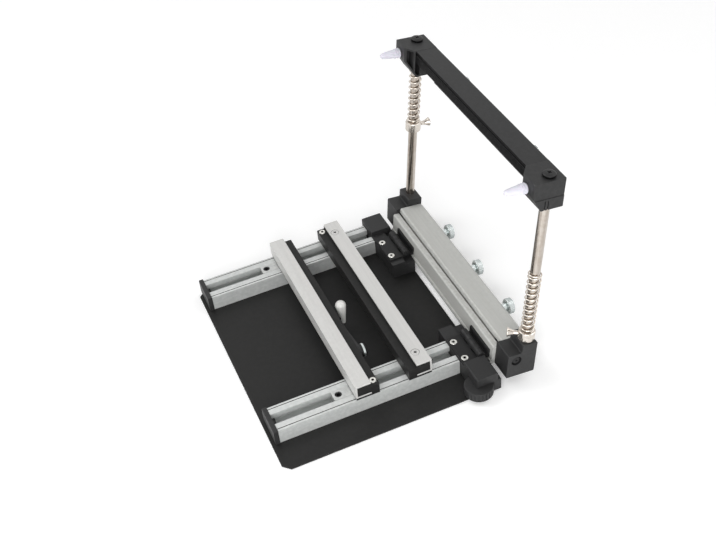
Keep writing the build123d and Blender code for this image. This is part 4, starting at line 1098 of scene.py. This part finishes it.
@dataclass
class PostFittings(SubAssembly):
    """Collars with their flared screws, and the springs that stand on them."""

    collar_radius: float = 7.0
    collar_height: float = 9.0
    bore: float = 4.08
    stem: float = 1.9
    flare_foot: float = 2.6
    flare_reach: float = 5.4
    flare_width: float = 2.0
    wire: float = 0.65
    coil: float = 5.05
    gap: float = 0.2
    end_pitch: float = 1.9
    steps: int = 32
    travel: float = 8.0

    def build(self) -> None:
        """Builds both sides."""
        low, high, rim = 0.0, self.collar_height, self.collar_radius
        collar = Workpiece.lathe("collar_pattern", (
            (self.bore, low + 0.35), (self.bore + 0.35, low), (rim - 0.9, low), (rim - 0.25, low + 0.3),
            (rim, low + 0.9), (rim, high - 1.1), (rim - 0.3, high - 0.45), (rim - 1.1, high), (self.bore + 0.4, high),
            (self.bore, high - 0.4), (self.bore, low + 0.35),
        ), 56)
        screw = self.flared_screw()
        for side in Side:
            self.collar(side, collar, screw)
            self.spring(side)
        collar.discard()
        screw.discard()

    def flared_screw(self) -> Workpiece:
        """Turns a thumb screw that is flared like a trumpet and hollow at its end."""
        stem, foot, reach, flare = self.stem, self.flare_foot, self.flare_reach, self.flare_width
        profile = [(0.0, -3.05), (1.5, -3.05), (1.5, 0.0), (stem, 0.15), (stem, foot)]
        profile += [(stem + flare * share ** 1.5, foot + reach * share) for share in (0.2, 0.4, 0.6, 0.75, 0.88, 1.0)]
        profile += [(3.9, 8.35), (3.7, 8.6), (3.3, 8.6), (2.9, 8.3), (2.1, 7.0), (1.4, 6.1), (0.0, 5.9)]
        return Workpiece.lathe("flared_screw_pattern", profile, 40)

    def collar(self, side: Side, ring: Workpiece, flare: Workpiece) -> None:
        """Puts a collar on its post and a flared screw into it, from their patterns."""
        node = f"{side.label}_collar"
        placing = aim(leaning(POST_ACROSS, side.collar_up, side.x), UP)
        self.stand(ring, f"turned_{node}", placing, Paint.COLLAR, node)
        way = ACROSS * math.cos(side.thumb_angle) + REAR * math.sin(side.thumb_angle)
        middle = leaning(POST_ACROSS, side.collar_up + self.collar_height / 2, side.x)
        placing = aim(middle + way * (self.collar_radius + self.gap), way, UP)
        self.stand(flare, f"flared_{node}_screw", placing, Paint.COLLAR, f"{node}_screw", smooth=50.0)

    def spring(self, side: Side) -> None:
        """Winds a compression spring on its collar, with a closed turn at each end."""
        foot = leaning(POST_ACROSS, side.collar_up + self.collar_height + self.gap, side.x)
        climb = (side.length - 2 * self.wire - 2 * self.end_pitch) / (side.turns - 2)
        placing = aim(foot, UP)
        points = []
        for number in range(side.turns * self.steps + 1):
            turn = number / self.steps
            height = self.wire + self.end_pitch * min(turn, 1) + climb * max(0, min(turn, side.turns - 1) - 1)
            height += self.end_pitch * max(0, turn - (side.turns - 1))
            angle = math.tau * turn
            points.append(placing @ Vector((self.coil * math.cos(angle), self.coil * math.sin(angle), height)))
        piece = Workpiece.wire(f"wound_{side.label}_spring", points, self.wire)
        made = self.fit(piece, Paint.SPRING, f"{side.label}_spring", smooth=60.0)
        if side is Side.LEFT:
            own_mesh(made)


@dataclass
class Crossbars(SubAssembly):
    """The two sliding board clamps with their screws."""

    cross_screw_place: tuple[float, float] = (-50.4, 30.9)
    set_screw_place: tuple[float, float] = (-120.0, 15.55)
    pin_place: tuple[float, float] = (-112.8, 15.95)
    cross_screw_turn: float = math.radians(20.0)
    core_top: float = 26.5
    front_core_screw: tuple[float, float] = (81.6, -92.3)
    rear_core_screw: tuple[float, float] = (-110.0, -59.0)

    def build(self) -> None:
        """Builds both crossbars."""
        for name in ("front", "rear"):
            self.eased(f"{name}_channel", Paint.CHANNEL, 0.2, least_length=4.0)
            self.eased(f"{name}_core", Paint.CORE, 0.3, least_length=4.0)
            self.eased(f"{name}_sliders", Paint.SLIDER, 0.2, least_length=4.0)
        self.cross_screws()
        self.core_screws()
        self.set_screws()

    def cross_screws(self) -> None:
        """Sets the flush screws on top of the rear crossbar."""
        pattern = Fastener.countersunk_cross("rear_cross_screw_pattern", radius=2.0, length=19.0)
        turn = Matrix.Rotation(self.cross_screw_turn, 4, "Z")
        for side, x in RAIL_MIDDLES.items():
            placing = aim(Vector((x, *self.cross_screw_place)), SKY) @ turn
            self.stand(pattern, f"{side}_flush_cross_screw", placing, Paint.CHANNEL, "rear_cross_screws")
        pattern.discard()

    def core_screws(self) -> None:
        """Sets the ring-headed screw of each core."""
        pattern = Fastener.ring_head("core_screw_pattern", head=2.9, height=1.1, radius=1.5, length=9.0)
        for name, place in (("front", self.front_core_screw), ("rear", self.rear_core_screw)):
            self.stand(pattern, f"{name}_ring_screw", aim(Vector((*place, self.core_top)), SKY), Paint.SCREW,
                       f"{name}_core_screw")
        pattern.discard()

    def set_screws(self) -> None:
        """Sets the dark socket screws in the front sliders and a pin behind each."""
        screw = Fastener.set_screw("set_screw_pattern", radius=3.0, length=9.2)
        pin = Workpiece.lathe("pin_pattern", ((0, -4.0), (1.2, -4.0), (1.2, -0.15), (1.05, 0.0), (0, 0)), 24)
        for side, x in RAIL_MIDDLES.items():
            self.stand(screw, f"{side}_slider_set_screw", aim(Vector((x, *self.set_screw_place)), SKY),
                       Paint.BLACK_METAL, "front_set_screws")
            self.stand(pin, f"{side}_slider_pin", aim(Vector((x, *self.pin_place)), SKY), Paint.SLIDER,
                       "front_set_screws", slot="slider_steel")
        screw.discard()
        pin.discard()


@dataclass
class LockLever(SubAssembly):
    """Flat arm, hub and drop-shaped grip of the lock lever."""

    pivot: tuple[float, float, float] = (41.0, -86.4, 20.5)
    hub: float = 5.8
    hub_height: float = 5.0
    painted_highlight_band: tuple[float, float] = (1.7, 3.3)
    shank: float = 2.5
    shank_length: float = 7.3
    grip_foot: tuple[float, float, float] = (-8.3, -81.5, 7.6)
    grip_lean: float = math.radians(-11.8)
    grip_thin: float = 1.6
    grip_thick: float = 4.8
    grip_straight: float = 18.1
    grip_rounding: tuple[float, ...] = (12, 24, 36, 48, 60, 72, 82, 90)

    def build(self) -> None:
        """Builds the lever."""
        self.eased("lever_arm", Paint.MOULDED, 0.35, least_length=0.4)
        rim, top, (low, high) = self.hub, self.hub_height, self.painted_highlight_band
        hub = Workpiece.lathe("chamfered_lever_hub", (
            (0, -self.shank_length), (self.shank, -self.shank_length), (self.shank, 0), (rim - 0.2, 0), (rim, 0.2),
            (rim, low), (rim, high), (rim - 0.25, high + 0.2), (rim - 0.25, top - 1.0), (rim - 0.5, top - 0.6),
            (rim - 1.1, top - 0.1), (rim - 1.4, top), (0, top),
        ), 56)
        # Only the band is bright zinc, as a painted highlight; the rest of the hub is black, as a painted dark
        # reflection.
        hub.mark(lambda face: not low < face.center.z < high)
        hub.put(aim(Vector(self.pivot), Vector((0, 1, 0))))
        self.fit(hub, Paint.ZINC, "lever_hub", second=Paint.BLACK_METAL)
        thin, thick, straight = self.grip_thin, self.grip_thick, self.grip_straight
        profile = [(0.0, 0.0), (thin - 0.9, 0.0), (thin - 0.3, 0.2), (thin, 0.7)]
        profile += [(thin + (thick - thin) * share, 0.7 + (straight - 0.7) * share) for share in (0.25, 0.5, 0.75, 1.0)]
        for turn in map(math.radians, self.grip_rounding):
            profile.append((thick * math.cos(turn), straight + thick * math.sin(turn)))
        grip = Workpiece.lathe("drop_shaped_grip", profile, 48)
        grip.put(Matrix.Translation(self.grip_foot) @ Matrix.Rotation(self.grip_lean, 4, "Y"))
        self.fit(grip, Paint.WHITE, "lever_grip", smooth=50.0)


PLAIN_NODES = {
    "black_plate": Paint.PLATE, "black_metal": Paint.BLACK_METAL, "black_plastic": Paint.MOULDED,
    "aluminium": Paint.CHANNEL, "slider_steel": Paint.SLIDER, "screw_steel": Paint.SCREW,
    "nickel_steel": Paint.NICKEL, "zinc_steel": Paint.ZINC, "white_plastic": Paint.WHITE,
}


def dress_nodes(shelf: FinishShelf, nodes: dict[str, bpy.types.Object], slots: dict[str, str]) -> None:
    """Gives every CAD node the finish of its material slot; most are replaced by finer pieces later.

    Args:
        shelf: The finishes.
        nodes: The CAD nodes by name.
        slots: Each node's material slot in the record.
    """
    for name, node in nodes.items():
        node.data.materials.clear()
        node.data.materials.append(shelf.take(PLAIN_NODES[slots[name]]))
        select_alone(node)
        bpy.ops.object.shade_smooth_by_angle(angle=math.radians(30.0))


# ---------------------------------------------------------------- studio


@dataclass
class Studio:
    """Floor, lamps, world and the photograph's camera."""

    eye: Vector
    azimuth: float = 1.22932137
    elevation: float = 0.72838113
    roll: float = -0.10647495
    focal: float = 1095.495
    middle: tuple[float, float] = (366.973, 269.253)
    width: int = 716
    height: int = 540
    floor_size: float = 8.0
    floor_tone: float = 0.93
    floor_lift: float = 0.2
    world_light: float = 0.5

    def build(self) -> None:
        """Sets up the whole studio."""
        self.floor()
        self.lamps()
        self.world()
        self.camera()
        bpy.context.scene.view_settings.view_transform = "Standard"

    def floor(self) -> None:
        """Lays the pale floor."""
        clear_selection()
        bpy.ops.mesh.primitive_plane_add(size=self.floor_size, location=(0, 0, -FLOOR_DROP))
        floor = bpy.context.object
        floor.name = "studio_floor"
        material, graph, shader = start_material("pale_floor")
        noise = graph.node("TexNoise", Vector=graph.node("TexCoord").outputs["Object"], Scale=3.0, Detail=2.0)
        tone = self.floor_tone
        colour = graph.ramp(noise.outputs[0], ((0.3, (tone, tone, tone)), (0.7, (tone + 0.01,) * 3)))
        graph.link(colour, shader, "Base Color")
        shader.inputs["Roughness"].default_value = 0.9
        shader.inputs["Specular IOR Level"].default_value = 0.1
        lift = graph.node("Emission", Color=(1.0, 1.0, 1.0, 1.0))
        graph.link(graph.spread(self.seen(graph), 0.0, 1.0, (0.0, self.floor_lift)), lift, "Strength")
        both = graph.node("AddShader", i0=shader.outputs[0], i1=lift.outputs[0]).outputs[0]
        graph.link(both, material.node_tree.nodes["Material Output"], "Surface")
        floor.data.materials.append(material)

    def lamps(self) -> None:
        """Hangs the soft lamps."""
        for name, place, target, size, power in (
            ("key_lamp", (-0.9, -1.0, 1.7), (0.0, 0.0, 0.05), 1.2, 13.0),
            ("side_lamp", (0.75, -0.35, 0.32), (0.1, 0.0, 0.05), 0.6, 5.2),
            ("back_lamp", (0.2, 1.6, 1.5), (0.0, 0.0, 0.1), 1.2, 7.0),
        ):
            data = bpy.data.lights.new(name, "AREA")
            data.size = size
            data.energy = power
            lamp = bpy.data.objects.new(name, data)
            bpy.context.scene.collection.objects.link(lamp)
            direction = Vector(target) - Vector(place)
            lamp.matrix_world = Matrix.Translation(place) @ direction.to_track_quat("-Z", "Y").to_matrix().to_4x4()

    def world(self) -> None:
        """Lights the scene from all round and shows a white background."""
        world = bpy.data.worlds.new("studio_world")
        bpy.context.scene.world = world
        world.use_nodes = True
        graph = Graph(world.node_tree)
        background = world.node_tree.nodes["Background"]
        strength = graph.spread(self.seen(graph), 0.0, 1.0, (self.world_light, 1.0))
        background.inputs["Color"].default_value = (1.0, 1.0, 1.0, 1.0)
        graph.link(strength, background, "Strength")

    def seen(self, graph: Graph) -> bpy.types.NodeSocket:
        """Gives a socket that is 1 where the camera, gloss or glass sees the surface directly."""
        path = graph.node("LightPath")
        seen = graph.maths("MAXIMUM", path.outputs["Is Camera Ray"], path.outputs["Is Glossy Ray"])
        return graph.maths("MAXIMUM", seen, path.outputs["Is Transmission Ray"])

    def camera(self) -> None:
        """Stands the camera where the photograph was taken."""
        turn = Matrix.Rotation(self.azimuth, 4, "Z") @ Matrix.Rotation(math.pi / 2 - self.elevation, 4, "X")
        turn = turn @ Matrix.Rotation(self.roll, 4, "Z")
        data = bpy.data.cameras.new("photo_camera")
        data.sensor_fit = "HORIZONTAL"
        data.sensor_width = 36.0
        data.lens = self.focal / self.width * data.sensor_width
        data.shift_x = (self.width / 2 - self.middle[0]) / self.width
        data.shift_y = (self.middle[1] - self.height / 2) / self.width
        data.clip_start = 0.01
        camera = bpy.data.objects.new("photo_camera", data)
        bpy.context.scene.collection.objects.link(camera)
        camera.matrix_world = Matrix.Translation(self.eye * MM) @ turn
        bpy.context.scene.camera = camera


def main() -> None:
    """Builds the part's looks in order."""
    logging.basicConfig(level=logging.INFO, format="%(message)s")
    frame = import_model()
    record = frame["record"]
    slots = {part["node"]: part["material_slot"] for part in record["subparts"]}
    bodies = {node: body for body, held in record["behaviour"]["bodies"].items() for node in held}
    shelf = FinishShelf()
    dress_nodes(shelf, frame["nodes"], slots)
    for kind in (Base, Knob, ClampBar, Beam, ThumbScrews, PostFittings, Crossbars, LockLever):
        kind(shelf, frame["nodes"], slots, bodies).build()
    Studio(eye=Vector((644.6, -287.2, 677.3))).build()


if __name__ == "__main__":
    main()
